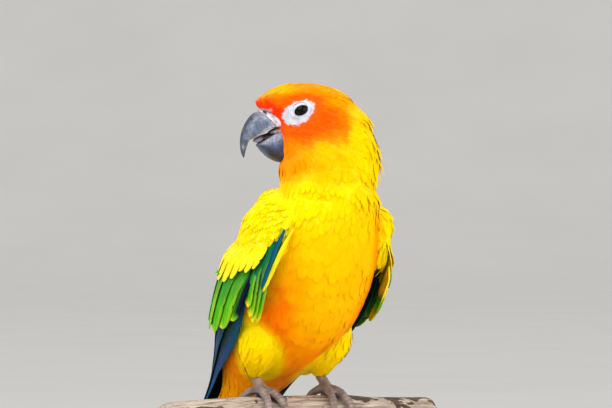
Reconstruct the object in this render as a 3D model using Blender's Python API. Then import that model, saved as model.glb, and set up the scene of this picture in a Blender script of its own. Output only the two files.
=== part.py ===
"""A sun conure, life size and still, perched on a short cut branch over a plain display stand.

The bird faces -Y with its head turned to its right, +X is its left and +Z is up.
The origin is the middle of the base's underside.  Sizes below are millimetres.
"""

import math

import bmesh
import bpy
import numpy as np
from mathutils import Matrix, Vector

MM = 0.001
GAP = 0.3  # what two touching pieces keep between them
MERGE = 0.003  # points closer than this after a cut become one
PARTS, CUTTERS = "sun_conure", "cutters"  # the two collections

# The stand: a flat base, two rods and the cut branch that the feet hold
BASE_WIDTH, BASE_DEPTH, BASE_HEIGHT = 132.0, 124.0, 12.0
BASE_CORNER, BASE_EDGE = 16.0, 1.6
ROD_RADIUS, ROD_SPREAD, ROD_SINK = 3.0, 43.0, 7.0
PERCH_RADIUS, PERCH_LENGTH = 12.5, 124.0
PERCH_TOP = 126.0  # height of the branch's top, which lets the hanging tail clear the base
BIRD_Y = -14.0  # the feet stand this far before the base's middle
REST = np.array([0.0, BIRD_Y, PERCH_TOP])  # the point between the feet, on the branch's top

# The body as sections from the tail end up to the crown.  Each section has its centre (x, y, z)
# from the point between the feet, its lean back from upright, the turn of its own front to the
# bird's right, half its width, its reach to the front and to the back, and its squareness.
BODY_LEAN = 37.0
TAIL_ROOT = (40.0, -3.0)
HEAD_TURN = 108.0
NECK_PIVOT = (3.9, -21.9)


def along_tail(distance, half_width, front, back):
    """A section on the tail's axis, this far past the tail's root."""
    lean = math.radians(BODY_LEAN)
    y = TAIL_ROOT[0] + math.sin(lean) * distance
    z = TAIL_ROOT[1] - math.cos(lean) * distance
    return (0, y, z, BODY_LEAN, 0, half_width, front, back, 2.0)


def on_head(height, forward, half_width, front, back, squareness=2.15):
    """A level section of the head or neck, its centre moved forward from the neck's pivot."""
    turn = math.radians(HEAD_TURN)
    x = NECK_PIVOT[0] - math.sin(turn) * forward
    y = NECK_PIVOT[1] - math.cos(turn) * forward
    return (x, y, height, 0, HEAD_TURN, half_width, front, back, squareness)


SECTIONS = [
    along_tail(90, 11.0, 4.0, 5.0),
    along_tail(60, 12.0, 4.0, 5.5),
    along_tail(30, 12.5, 5.0, 6.0),
    (0, *TAIL_ROOT, 38, 0, 13.0, 7.0, 6.5, 2.0),
    (0, 29.0, 10.5, 40, 0, 17.0, 14.0, 10.0, 2.0),
    (0, 15.0, 25.5, 41, 0, 24.0, 22.0, 14.5, 2.0),
    (0, 0.0, 41.0, 37, 0, 28.0, 26.5, 17.5, 2.0),
    (0, -11.5, 56.0, 26, 0, 28.0, 26.0, 19.0, 2.0),
    (0, -18.5, 69.0, 14, 0, 25.5, 22.5, 20.0, 2.0),
    (2.9, -21.5, 79.0, 3, 0, 20.6, 20.6, 20.6, 2.0),
    on_head(86.0, 0.6, 19.0, 20.4, 20.8, 2.0),
    on_head(92.0, 0.0, 18.0, 21.2, 21.1, 2.05),
    on_head(98.0, 0.0, 17.0, 21.9, 20.9),
    on_head(104.0, 0.5, 16.2, 22.2, 19.2),
    on_head(110.0, 2.0, 15.6, 23.0, 18.4),
    on_head(115.0, 4.0, 14.8, 26.4, 16.9, 1.88),
    on_head(119.0, 6.0, 12.8, 23.0, 15.0, 1.9),
    on_head(122.0, 8.0, 9.7, 16.9, 11.7, 1.95),
    on_head(124.2, 10.5, 4.8, 8.8, 6.5),
]
# Where the body is parted, counted in sections from the tail end
AT_TAIL, AT_NECK, AT_HEAD, AT_CROWN = 3.0, 9.0, 10.7, 18.0
CROWN_RISE = 0.7

# The eye, the bare ring's lid and the nostril
EYE_HEIGHT, EYE_FORWARD = 113.4, 15.2
EYE_RADIUS, EYE_DEPTH = 3.5, 2.8
LID_RADIUS, LID_THICKNESS, LID_RISE = 2.95, 0.45, 0.26
NOSTRIL_FORWARD, NOSTRIL_HEIGHT, NOSTRIL_RADIUS = 27.2, 112.6, 0.75

# The upper bill's profile: culmen and cutting edge (forward, height) and half width, base to tip
UPPER_BILL = [
    (26.2, 114.4, 18.7, 107.0, 6.3),
    (30.0, 114.6, 22.9, 106.8, 6.8),
    (33.1, 113.0, 25.9, 105.9, 6.5),
    (35.6, 109.6, 28.6, 104.2, 5.8),
    (36.8, 105.6, 31.0, 102.6, 4.7),
    (37.1, 102.2, 33.5, 101.3, 3.4),
    (36.9, 99.0, 34.4, 98.8, 2.2),
    (36.3, 96.5, 34.9, 96.5, 1.2),
    (35.5, 94.7, 35.2, 94.7, 0.35),
]
CERE_END = 1.3  # how far along that profile the soft cere reaches
# Half of the section, from the ridge down round to the palate: share of the height, of the width
UPPER_HALF = [(0, 0), (0.05, 0.32), (0.18, 0.66), (0.42, 0.93), (0.7, 1.0), (0.92, 0.94),
              (1.0, 0.78), (0.93, 0.4), (0.9, 0)]
# The lower bill's profile: upper edge and underside (forward, height) and half width
LOWER_BILL = [
    (16.7, 105.5, 17.2, 93.4, 6.0),
    (21.7, 104.6, 21.2, 92.9, 6.0),
    (25.2, 102.7, 25.2, 94.4, 5.5),
    (28.2, 101.1, 28.3, 96.7, 4.5),
    (30.2, 100.3, 30.2, 98.6, 3.3),
    (31.0, 99.9, 31.0, 99.3, 1.8),
]
LOWER_HALF = [(0.42, 0), (0.34, 0.42), (0.0, 0.7), (0.0, 0.88), (0.3, 1.0), (0.62, 0.86),
              (0.88, 0.5), (1.0, 0)]
TONGUE = [(18.5, 103.0, 2.6, 1.3), (23.0, 102.6, 2.8, 1.4), (26.6, 101.7, 2.3, 1.2),
          (28.8, 101.2, 1.3, 0.8)]

# The folded wing, from its shoulder to its tip, in sections and degrees round from the breast:
# its front edge and its edge on the back
WING_EDGES = [
    (9.35, 116, 140), (9.15, 100, 148), (8.9, 84, 150), (8.6, 66, 149), (8.3, 56, 148),
    (7.8, 54, 149), (7.0, 57, 152), (6.4, 57, 156), (5.8, 58, 160), (5.4, 61, 162),
    (5.0, 65, 163), (4.0, 76, 166), (3.0, 84, 169), (2.0, 92, 171), (1.0, 104, 172),
]
WING_LIFT = 0.6  # the wing's inner face stands this far off the body
# The flesh's thickness from its end up to the shoulder: section, at the right, at the left
WING_DEPTH = [(6.3, 3.6, 3.6), (6.8, 4.2, 4.4), (7.3, 4.7, 5.2), (7.8, 5.1, 5.9), (8.3, 5.8, 6.1),
              (8.7, 6.6, 4.6), (9.0, 6.4, 2.4), (9.35, 3.0, 1.2)]
SHOULDER_TOP = {"right": 9.35, "left": 8.9}
FLESH_END = [(0.0, 7.3), (0.12, 6.9), (0.3, 6.5), (0.7, 6.3), (1.0, 6.5)]  # share across, section
VANE_THICKNESS, VANE_STEP = 0.6, 1.0  # a vane, and the rise from each vane to the next above it
# The upper tier, from the front edge to the back: the vane's place in degrees at its tip and at
# the fold, the sections of its root and its tip, and its width.  The first four are the primary
# coverts, which fan out from their tips.
UPPER_TIER = [(55.8, 61.5, 7.9, 5.97, 4.6), (58.2, 65.2, 7.8, 5.94, 4.8),
              (61.2, 68.6, 7.6, 6.03, 5.0), (64.8, 71.5, 7.4, 6.2, 5.0),
              (74, 74.5, 7.2, 5.68, 7.0), (81.5, 81.5, 7.1, 5.32, 8.4), (90, 90, 7.1, 5.02, 9.0),
              (100, 100, 7.0, 4.84, 9.4), (111, 111, 7.0, 4.7, 9.6), (123, 123, 7.0, 4.62, 9.6),
              (135, 135, 7.0, 4.6, 9.2), (145, 145, 7.0, 4.7, 8.0)]
TIER_FOLD = 7.0  # the section up to which they fan out
UPPER_LIFT = [(4.6, 5.0), (5.6, 5.0), (6.1, 5.0), (6.5, 4.9), (7.1, 4.9), (7.9, 4.9)]
# The primaries under it, from the outermost: the sections of their tips, root, width and lift
PRIMARY_TIPS = (1.15, 1.0, 1.25, 1.75, 2.3, 2.9)
PRIMARY_ROOT, PRIMARY_WIDTH, PRIMARY_LIFT = 6.85, 9.6, 0.9

# The tail: six feathers a side, the middle pair longest
TAIL_LENGTH, TAIL_WIDTH, TAIL_SHARES = 128.0, 11.0, (1.0, 0.93, 0.85, 0.76, 0.67, 0.58)
TAIL_COVERTS = (36.0, 42.0)  # upper, lower

# The legs: (x out, y, z) and the half sizes of the feathered thigh, from inside the belly down
THIGH = [(13.5, 1.0, 35.0, 8.4, 9.0), (15.8, -1.0, 26.5, 9.2, 10.4), (16.6, 1.0, 17.5, 8.0, 8.8),
         (15.6, 4.4, 10.4, 4.8, 5.4), (15.0, 6.0, 7.4, 3.0, 3.4)]
ANKLE, FOOT_X = (15.0, 6.6, 8.2), 15.0
SHANK_RADIUS, TOE_RADIUS = 2.1, 1.9
# Toes: name, start and end across, reach round the branch in degrees (front is negative)
TOES = [("inner_front", -1.0, -4.2, -62), ("outer_front", 1.2, 4.6, -74),
        ("outer_back", 1.4, 5.2, 62), ("inner_back", -1.2, -3.4, 44)]
CLAW_LENGTH, CLAW_RADIUS = 7.5, 1.15
CLAW_GAP = 2.8  # degrees round the branch between a toe's end and its claw


def clear_scene():
    for found in list(bpy.data.objects):
        bpy.data.objects.remove(found)


def collection(name):
    """The collection of that name, made on first use."""
    found = bpy.data.collections.get(name)
    if not found:
        found = bpy.data.collections.new(name)
        bpy.context.scene.collection.children.link(found)
    return found


def make_material(name, colour, roughness, metallic=0.0):
    material = bpy.data.materials.new(name)
    material.use_nodes = True
    shader = material.node_tree.nodes["Principled BSDF"]
    shader.inputs["Base Color"].default_value = (*colour, 1.0)
    shader.inputs["Roughness"].default_value = roughness
    shader.inputs["Metallic"].default_value = metallic
    return material


def curve(points, x):
    """The value at x of a smooth curve through (x, value) points, level past both ends."""
    xs = np.array([p[0] for p in points], float)
    ys = np.array([p[1] for p in points], float)
    if xs[0] > xs[-1]:
        xs, ys = xs[::-1], ys[::-1]
    x = float(np.clip(x, xs[0], xs[-1]))
    slopes = np.gradient(ys, xs)
    i = int(np.clip(np.searchsorted(xs, x) - 1, 0, len(xs) - 2))
    step = xs[i + 1] - xs[i]
    f = (x - xs[i]) / step
    ends = (2 * f**3 - 3 * f**2 + 1) * ys[i] + (3 * f**2 - 2 * f**3) * ys[i + 1]
    return ends + step * ((f**3 - 2 * f**2 + f) * slopes[i] + (f**3 - f**2) * slopes[i + 1])


def row_at(rows, t):
    """The row at t of a smooth run through evenly counted rows."""
    rows = np.asarray(rows, float)
    t = float(np.clip(t, 0, len(rows) - 1))
    i = min(int(t), len(rows) - 2)
    f = t - i
    here, after = rows[i], rows[i + 1]
    before = rows[i - 1] if i > 0 else 2 * here - after
    beyond = rows[i + 2] if i + 2 < len(rows) else 2 * after - here
    run_in, run_out = (after - before) / 2, (beyond - here) / 2
    ends = (2 * f**3 - 3 * f**2 + 1) * here + (3 * f**2 - 2 * f**3) * after
    return ends + (f**3 - 2 * f**2 + f) * run_in + (f**3 - f**2) * run_out


def in_section(row, angle):
    """A point of a section's outline; the angle in radians runs from the front to the right."""
    x, y, z, lean, turn, half_width, front, back, squareness = row
    lean, turned = math.radians(lean), angle - math.radians(turn)
    forward, aside = math.cos(turned), math.sin(turned)
    reach = front if forward > 0 else back
    radius = (abs(forward / reach) ** squareness + abs(aside / half_width) ** squareness)
    radius = radius ** (-1 / squareness)
    ahead = np.array([0.0, -math.cos(lean), -math.sin(lean)])
    right = np.array([-1.0, 0.0, 0.0])
    return np.array([x, y, z]) + radius * (ahead * math.cos(angle) + right * math.sin(angle))


def body_point(t, degrees, lift=0.0, side="right"):
    """A point on the body's surface, raised by lift square to the section's outline."""
    row, small = row_at(SECTIONS, t), 0.02
    angle = math.radians(degrees if side == "right" else -degrees)
    point = in_section(row, angle)
    if lift:
        run = in_section(row, angle + small) - in_section(row, angle - small)
        lean = math.radians(row[3])
        axis = np.array([0.0, -math.sin(lean), math.cos(lean)])
        outward = np.cross(axis, run)
        outward *= np.sign(np.dot(outward, point - row[:3])) / np.linalg.norm(outward)
        point = point + outward * lift
    return point


def head_point(forward, left, height):
    """A point in the head's own frame, measured from the neck's pivot."""
    turn = math.radians(HEAD_TURN)
    ahead = np.array([-math.sin(turn), -math.cos(turn), 0.0])
    sideways = np.array([math.cos(turn), -math.sin(turn), 0.0])
    return np.array([*NECK_PIVOT, 0.0]) + ahead * forward + sideways * left + [0, 0, height]


def finish_mesh(name, builder, material=None):
    """A new object from a bmesh in millimetres from the point between the feet."""
    for vertex in builder.verts:
        vertex.co = [(c + r) * MM for c, r in zip(vertex.co, REST)]
    bmesh.ops.recalc_face_normals(builder, faces=builder.faces)
    mesh = bpy.data.meshes.new(name)
    builder.to_mesh(mesh)
    builder.free()
    obj = bpy.data.objects.new(name, mesh)
    collection(PARTS).objects.link(obj)
    if material:
        mesh.materials.append(material)
    mesh.shade_smooth()
    mesh.set_sharp_from_angle(angle=math.radians(40))
    return obj


def loft(name, rings, material=None, tip=None, crescent=False):
    """A closed solid through rings of points.

    It ends in the point tip, if any.  The flat ends of a crescent, whose rings run along one side
    and back along the other, are filled from side to side.
    """
    builder = bmesh.new()
    rows = [[builder.verts.new(p) for p in ring] for ring in rings]
    count = len(rows[0])
    for low, high in zip(rows, rows[1:]):
        for i in range(count):
            j = (i + 1) % count
            builder.faces.new((low[i], low[j], high[j]))
            builder.faces.new((low[i], high[j], high[i]))
    for row in (rows[0], rows[-1]):
        if row is rows[-1] and tip is not None:
            end = builder.verts.new(tip)
            for i in range(count):
                builder.faces.new((row[i], row[(i + 1) % count], end))
        elif crescent:
            for i in range(count // 2 - 1):
                builder.faces.new((row[i], row[i + 1], row[-1 - i]))
                builder.faces.new((row[i + 1], row[-2 - i], row[-1 - i]))
        else:
            builder.faces.new(row)
    return finish_mesh(name, builder, material)


def cylinder(name, start, end, radius, sides, material=None):
    """A straight round bar between two points."""
    start, end = Vector(start), Vector(end)
    builder = bmesh.new()
    place = Matrix.Translation((start + end) / 2) @ (end - start).to_track_quat("Z", "Y").to_matrix().to_4x4()
    bmesh.ops.create_cone(builder, cap_ends=True, segments=sides, radius1=radius, radius2=radius,
                          depth=(end - start).length, matrix=place)
    return finish_mesh(name, builder, material)


def tube(name, centres, radii, sides, material=None):
    """A round tapering solid along a path."""
    centres = np.asarray(centres, float)
    across = np.array([1.0, 0.0, 0.0])
    rings = []
    for i, centre in enumerate(centres):
        run = centres[min(i + 1, len(centres) - 1)] - centres[max(i - 1, 0)]
        run /= np.linalg.norm(run)
        across = across - run * np.dot(across, run)
        if np.linalg.norm(across) < 0.1:
            across = np.cross(run, [0.0, 1.0, 0.0])
        across /= np.linalg.norm(across)
        over = np.cross(across, run)
        angles = [2 * math.pi * k / sides for k in range(sides)]
        rings.append([centre + radii[i] * (across * math.cos(a) + over * math.sin(a))
                      for a in angles])
    return loft(name, rings, material)


def join(name, base, pieces, material, solver="MANIFOLD"):
    """The base and the pieces as one closed solid, by one Boolean union on their collection."""
    group = collection(name + "_pieces")
    for piece in pieces:
        collection(PARTS).objects.unlink(piece)
        group.objects.link(piece)
    modifier = base.modifiers.new("union", "BOOLEAN")
    modifier.operation, modifier.operand_type, modifier.solver = "UNION", "COLLECTION", solver
    modifier.collection = group
    apply_modifiers(base)
    for piece in pieces:
        bpy.data.objects.remove(piece)
    bpy.data.collections.remove(group)
    base.name = name
    keep_largest(base, material)
    return base


def cut(base, cutter):
    """Takes the cutter's form out of the base; the cutter stays, hidden among the cutters."""
    collection(PARTS).objects.unlink(cutter)
    collection(CUTTERS).objects.link(cutter)
    cutter.hide_render, cutter.display_type = True, "WIRE"
    modifier = base.modifiers.new("cut", "BOOLEAN")
    modifier.operation, modifier.object = "DIFFERENCE", cutter
    apply_modifiers(base)
    keep_largest(base, base.data.materials[0])


def apply_modifiers(obj):
    graph = bpy.context.evaluated_depsgraph_get()
    mesh = bpy.data.meshes.new_from_object(obj.evaluated_get(graph))
    obj.modifiers.clear()
    obj.data = mesh


def keep_largest(obj, material):
    """Keeps only the object's largest closed surface."""
    builder = bmesh.new()
    builder.from_mesh(obj.data)
    unseen, surfaces = set(builder.verts), []
    while unseen:
        stack, found = [unseen.pop()], []
        while stack:
            vertex = stack.pop()
            found.append(vertex)
            for edge in vertex.link_edges:
                other = edge.other_vert(vertex)
                if other in unseen:
                    unseen.remove(other)
                    stack.append(other)
        surfaces.append(found)
    surfaces.sort(key=len)
    for scrap in surfaces[:-1]:
        bmesh.ops.delete(builder, geom=scrap, context="VERTS")
    bmesh.ops.remove_doubles(builder, verts=builder.verts, dist=MERGE * MM)
    bmesh.ops.triangulate(builder, faces=builder.faces)
    builder.to_mesh(obj.data)
    builder.free()
    obj.data.materials.clear()
    if material:
        obj.data.materials.append(material)
    obj.data.shade_smooth()
    obj.data.set_sharp_from_angle(angle=math.radians(40))


def body_rings(start, end, count, sides, lift=0.0):
    return [[body_point(t, 360.0 * i / sides, lift) for i in range(sides)]
            for t in np.linspace(start, end, count)]


def torso(material):
    return loft("torso", body_rings(AT_TAIL, AT_NECK - 0.02, 19, 36), material)


def neck(material):
    return loft("neck", body_rings(AT_NECK + 0.02, AT_HEAD - 0.025, 6, 36), material)


def head_shell(name, lift=0.0, material=None):
    """The head's own form, also grown by lift to cut what sits against it."""
    heights = np.concatenate([np.linspace(AT_HEAD + 0.025, 14.0, 7)[:-1],
                              np.linspace(14.0, AT_CROWN, 9)])
    if lift:
        heights[0] -= 0.3
    rings = [[body_point(t, 360.0 * i / 36, lift) for i in range(36)] for t in heights]
    top = row_at(SECTIONS, AT_CROWN)[:3] + [0.0, 0.0, CROWN_RISE + lift]
    return loft(name, rings, material, tip=top)


def eye_place(side):
    """(middle of the eyeball, direction it looks) on one side of the head."""
    t = 14.0 + (EYE_HEIGHT - 110.0) / 5.0
    row = row_at(SECTIONS, t)
    ahead = EYE_FORWARD - np.dot(row[:3] - head_point(0, 0, 0), head_point(1, 0, 0)
                                 - head_point(0, 0, 0))
    aside = row[5] * (1 - (ahead / row[6]) ** row[8]) ** (1 / row[8])
    turned = math.degrees(math.atan2(aside, ahead))
    degrees = HEAD_TURN - turned if side == "left" else HEAD_TURN + turned
    surface = body_point(t, degrees)
    around = body_point(t, degrees + 4) - body_point(t, degrees - 4)
    upward = body_point(t + 0.3, degrees) - body_point(t - 0.3, degrees)
    look = np.cross(around, upward)
    look *= np.sign(np.dot(look, surface - row[:3])) / np.linalg.norm(look)
    return surface - look * EYE_DEPTH, look


def ball(name, middle, radius, rings, sides, material=None):
    builder = bmesh.new()
    bmesh.ops.create_uvsphere(builder, u_segments=sides, v_segments=rings, radius=radius)
    for vertex in builder.verts:
        vertex.co = [c + m for c, m in zip(vertex.co, middle)]
    return finish_mesh(name, builder, material)


def lid(middle, look):
    """The rim of the eyelids, a ring round the direction in which the eye looks."""
    bpy.ops.mesh.primitive_torus_add(major_radius=LID_RADIUS, minor_radius=LID_THICKNESS,
                                     major_segments=18, minor_segments=6)
    ring = bpy.context.object
    turn = Vector(look).to_track_quat("Z", "Y").to_matrix().to_4x4()
    centre = Vector((middle + look * (EYE_DEPTH + LID_RISE) + REST) * MM)
    ring.data.transform(Matrix.Translation(centre) @ turn @ Matrix.Scale(MM, 4))
    bpy.context.collection.objects.unlink(ring)
    collection(PARTS).objects.link(ring)
    return ring


def head(material, eye_material):
    """The head with its eye cups and lids, and the two eyes."""
    shell = head_shell("head", 0.0, material)
    lids = []
    for side in ("left", "right"):
        middle, look = eye_place(side)
        cut(shell, ball("cup", middle, EYE_RADIUS + GAP, 10, 16))
        lids.append(lid(middle, look))
        ball("eye_" + side, middle, EYE_RADIUS, 8, 14, eye_material)
    join("head", shell, lids, material, "EXACT")


def bill_ring(high, low, half_width, outline):
    """One section of a bill part, from the half outline given as shares."""
    high, low = np.array(high, float), np.array(low, float)
    points = []
    for down, out in outline + [(d, -o) for d, o in outline[-2:0:-1]]:
        forward, height = high + (low - high) * down
        points.append(head_point(forward, out * half_width, height))
    return points


def upper_rings(start, end, count, swell=0.0):
    rings = []
    for t in np.linspace(start, end, count):
        top_f, top_h, low_f, low_h, half = row_at(UPPER_BILL, t)
        run = np.array([top_f - low_f, top_h - low_h])
        run *= swell / np.linalg.norm(run)
        rings.append(bill_ring((top_f + run[0], top_h + run[1]), (low_f, low_h), half + swell,
                               UPPER_HALF))
    return rings


def bill(horn, cere_skin, tongue_skin):
    """Both halves of the bill, the cere with its nostrils, and the tongue between them."""
    loft("bill_upper", upper_rings(CERE_END + 0.05, len(UPPER_BILL) - 1, 13), horn)
    cere = loft("cere", upper_rings(0.0, CERE_END - 0.03, 4, 0.35), cere_skin)
    cut(cere, head_shell("shell", 1.5 * GAP))
    for out in (-1, 1):
        start = head_point(NOSTRIL_FORWARD, out * 2.6, NOSTRIL_HEIGHT)
        end = head_point(NOSTRIL_FORWARD + 0.6, out * 9.0, NOSTRIL_HEIGHT + 1.6)
        cut(cere, cylinder("nostril", start, end, NOSTRIL_RADIUS, 8))
    rows = [row_at(LOWER_BILL, t) for t in np.linspace(0, len(LOWER_BILL) - 1, 9)]
    lower = loft("bill_lower", [bill_ring(r[:2], r[2:4], r[4], LOWER_HALF) for r in rows], horn)
    cut(lower, head_shell("shell", GAP))
    rows = [row_at(TONGUE, t) for t in np.linspace(0, len(TONGUE) - 1, 6)]
    rings = [[head_point(f, half * math.cos(a), h + deep * math.sin(a))
              for a in (2 * math.pi * k / 10 for k in range(10))] for f, h, half, deep in rows]
    tongue = loft("tongue", rings, tongue_skin)
    cut(tongue, head_shell("shell", GAP))


def wing_edges(t):
    """The degrees of the wing's front and back edge at a section."""
    return [curve([(row[0], row[i]) for row in WING_EDGES], t) for i in (1, 2)]


def flesh(t, degrees, share, side):
    """The height over the body of a share of the wing's own depth, rounded off at both edges."""
    front, back = wing_edges(t)
    v = min(max((degrees - front) / (back - front), 0), 1)
    column = 1 if side == "right" else 2
    depth = curve([(row[0], row[column]) for row in WING_DEPTH], t)
    return WING_LIFT + share * depth * (0.25 + 0.75 * (1 - abs(2 * v - 1) ** 3) ** 0.7)


def wing_core(side):
    """The wing's flesh and small coverts, lying on the body: a lens from edge to edge."""
    rings = []
    for down in np.linspace(0, 1, 12):
        outer, inner = [], []
        for v in np.linspace(0, 1, 10):
            t = SHOULDER_TOP[side] * (1 - down) + curve(FLESH_END, v) * down
            front, back = wing_edges(t)
            place = front + (back - front) * v
            outer.append(body_point(t, place, flesh(t, place, 1.0, side), side))
            inner.append(body_point(t, place, WING_LIFT, side))
        rings.append(outer + inner[::-1])
    return loft("wing_" + side, rings, crescent=True)


def rooted(t, degrees, root, share, free, tilt, side):
    """A vane's height: from a share of the flesh at its root to its free height and tilt."""
    out = min(max((root - t) / 0.75, 0), 1)
    out = out * out * (3 - 2 * out)
    return flesh(t, degrees, share, side) * (1 - out) + free * out - tilt * (0.4 + 0.6 * out)


def vane(side, tip, root, width, place, lift, grid):
    """A feather's vane over the body, from its root to its tip.

    width(t) gives its width, place(t) its middle in degrees and lift(t, degrees) its height.
    """
    length = np.linalg.norm(body_point(root, place(root), 3) - body_point(tip, place(tip), 3))
    ends = [(tip, 0.2), (tip + (root - tip) * 2.0 / length, 0.62),
            (tip + (root - tip) * 5.5 / length, 0.95)]
    inner = [(t, 1.0) for t in grid if ends[-1][0] + 0.12 < t < root - 0.1]
    stations = ends + inner + [(root, 0.55)]
    builder = bmesh.new()
    grids = ([], [])
    for t, share in stations:
        middle = place(t)
        per_degree = np.linalg.norm(body_point(t, middle + 1, 3, side)
                                    - body_point(t, middle - 1, 3, side)) / 2
        half = width(t) * share / 2 / per_degree
        for rows, extra in zip(grids, (0.0, VANE_THICKNESS)):
            rows.append([builder.verts.new(body_point(
                t, middle + v * half, lift(t, middle + v * half) + extra, side))
                for v in (-1, 0, 1)])
    close_plate(builder, *grids)
    return finish_mesh("vane", builder)


def close_plate(builder, low, high):
    """Faces of a thin plate between two grids of vertices, split alike on both sides."""
    last = len(low[0]) - 1

    def patch(a, b, c, d):
        builder.faces.new((a, b, c))
        builder.faces.new((a, c, d))

    for i in range(len(low) - 1):
        for rows in (low, high):
            for k in range(last):
                patch(rows[i][k], rows[i][k + 1], rows[i + 1][k + 1], rows[i + 1][k])
        for k in (0, last):
            patch(low[i][k], high[i][k], high[i + 1][k], low[i + 1][k])
    for i in (0, -1):
        for k in range(last):
            patch(low[i][k], low[i][k + 1], high[i][k + 1], high[i][k])


def upper_tier(side):
    """Primary coverts, secondaries and tertials: each lies over its neighbour to the front."""
    grid = np.linspace(4.9, 7.6, 9)

    def place_at(t, row):
        at_tip, at_fold, _, tip, _ = row
        return at_tip + (at_fold - at_tip) * min(max((t - tip) / (TIER_FOLD - tip), 0), 1)

    vanes = []
    for i, row in enumerate(UPPER_TIER):
        _, _, root, tip, width = row

        def lift(t, at, i=i, root=root):
            places = [place_at(t, other) for other in UPPER_TIER]
            rank = np.interp(at, places, range(len(places)))
            rank += min(at - places[0], 0) / 3.5 + max(at - places[-1], 0) / 12.0
            edge = min(max((at - 52.0) / 26.0, 0), 1)
            free = curve(UPPER_LIFT, t) - 1.2 * (1 - edge) ** 2
            return rooted(t, at, root, 0.48, free, VANE_STEP * (rank - i), side)

        vanes.append(vane(side, tip, root, lambda t, w=width: w, lambda t, r=row: place_at(t, r),
                          lift, grid))
    return vanes


def primaries(side):
    """The long flight feathers, which lie along the rump and over the tail's sides."""
    last = len(PRIMARY_TIPS) - 1

    def spread(t):
        front, back = wing_edges(t)
        per_degree = np.linalg.norm(body_point(t, 130, 1) - body_point(t, 120, 1)) / 10
        edge = PRIMARY_WIDTH * narrowing(t) / 2 / per_degree
        inward = min(max(t - 5.0, 0), 1)
        first = front + edge + 8.0 * inward
        return first, (back - edge - 6.0 * inward - first) / last, per_degree

    def narrowing(t):
        return 0.72 + 0.28 * min(max((t - 1) / 4, 0), 1)

    vanes = []
    for i, tip in enumerate(PRIMARY_TIPS):
        def place(t, i=i):
            first, step, _ = spread(t)
            return first + step * i

        def lift(t, at, i=i):
            first, step, per_degree = spread(t)
            rise = VANE_STEP * PRIMARY_WIDTH * narrowing(t) / 2 / (step * per_degree)
            tilt = VANE_STEP * ((at - first) / step - i)
            return rooted(t, at, PRIMARY_ROOT, 0.2, PRIMARY_LIFT + rise, tilt, side)

        vanes.append(vane(side, tip, PRIMARY_ROOT, lambda t: PRIMARY_WIDTH * narrowing(t), place,
                          lift, np.linspace(1.6, 6.2, 6)))
    return vanes


def wing(side, material):
    return join("wing_" + side, wing_core(side), upper_tier(side) + primaries(side), material)


def tail_point(distance, out, up):
    """A point in the tail's own frame: along its axis, to the left and towards its top."""
    lean = math.radians(BODY_LEAN)
    along = np.array([0.0, math.sin(lean), -math.cos(lean)])
    over = np.array([0.0, math.cos(lean), math.sin(lean)])
    return (np.array([0.0, *TAIL_ROOT]) + along * distance + np.array([out, 0.0, 0.0])
            + over * up)


def tail_vane(length, inner, outer, height):
    """One tail feather as a flat, pointed plate from the tail's root."""
    builder = bmesh.new()
    grids = ([], [])
    for s, shape in ((0.03, 0.6), (0.3, 0.9), (0.6, 1.0), (0.85, 0.8), (0.95, 0.5), (1.0, 0.12)):
        middle, half = (inner + outer) / 2, (outer - inner) / 2 * shape
        for grid, extra in zip(grids, (0.0, VANE_THICKNESS)):
            grid.append([builder.verts.new(tail_point(length * s, middle + k * half, height + extra))
                         for k in (-1, 1)])
    close_plate(builder, *grids)
    return finish_mesh("vane", builder)


def tail(material):
    """The tail: its feathered root, and six pairs of feathers stepped in length and height."""
    upper, lower = TAIL_COVERTS
    rings = []
    for s in np.linspace(0, 1, 8):
        swell = (1 - s**2.2) ** 0.5 if s < 1 else 0.0
        half, top, under = 4.5 + 7.0 * swell, 0.6 + 4.2 * swell, 0.6 + 5.0 * swell
        distance = GAP + (upper + (lower - upper) * 0.5 - GAP) * s
        ring = []
        for a in (2 * math.pi * k / 16 for k in range(16)):
            reach = top if math.sin(a) > 0 else under
            ring.append(tail_point(distance, half * math.cos(a), reach * math.sin(a)))
        rings.append(ring)
    root = loft("tail", rings)
    vanes = []
    for i, share in enumerate(TAIL_SHARES):
        height = 3.1 - i * VANE_STEP - (VANE_STEP if i else 0.0)
        for out in (-1, 1):
            if i == 0:
                inner, outer = -TAIL_WIDTH * 0.36, TAIL_WIDTH * 0.64
                lift = height - (VANE_STEP if out < 0 else 0.0)
            else:
                inner, outer, lift = 0.4, TAIL_WIDTH * 0.62 + 0.95 * i, height
            edges = sorted((inner * out, outer * out))
            vanes.append(tail_vane(TAIL_LENGTH * share, *edges, lift))
    return join("tail", root, vanes, material)


def thigh(side, material):
    """The feathered thigh, cut to lie against the belly."""
    out = -1 if side == "right" else 1
    rings = []
    for t in np.linspace(0, len(THIGH) - 1, 12):
        x, y, z, wide, deep = row_at(THIGH, t)
        rings.append([(out * (x + wide * math.cos(a)), y + deep * math.sin(a), z)
                      for a in (2 * math.pi * k / 18 for k in range(18))])
    leg = loft("thigh_" + side, rings, material)
    cut(leg, loft("shell", body_rings(AT_TAIL, AT_NECK, 26, 36, GAP + 0.05)))


def round_perch(x, degrees, lift):
    """A point round the branch; 0 degrees is its top and negative is towards the bird's front."""
    a = math.radians(degrees)
    reach = PERCH_RADIUS + lift
    return np.array([x, reach * math.sin(a), reach * math.cos(a) - PERCH_RADIUS])


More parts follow.
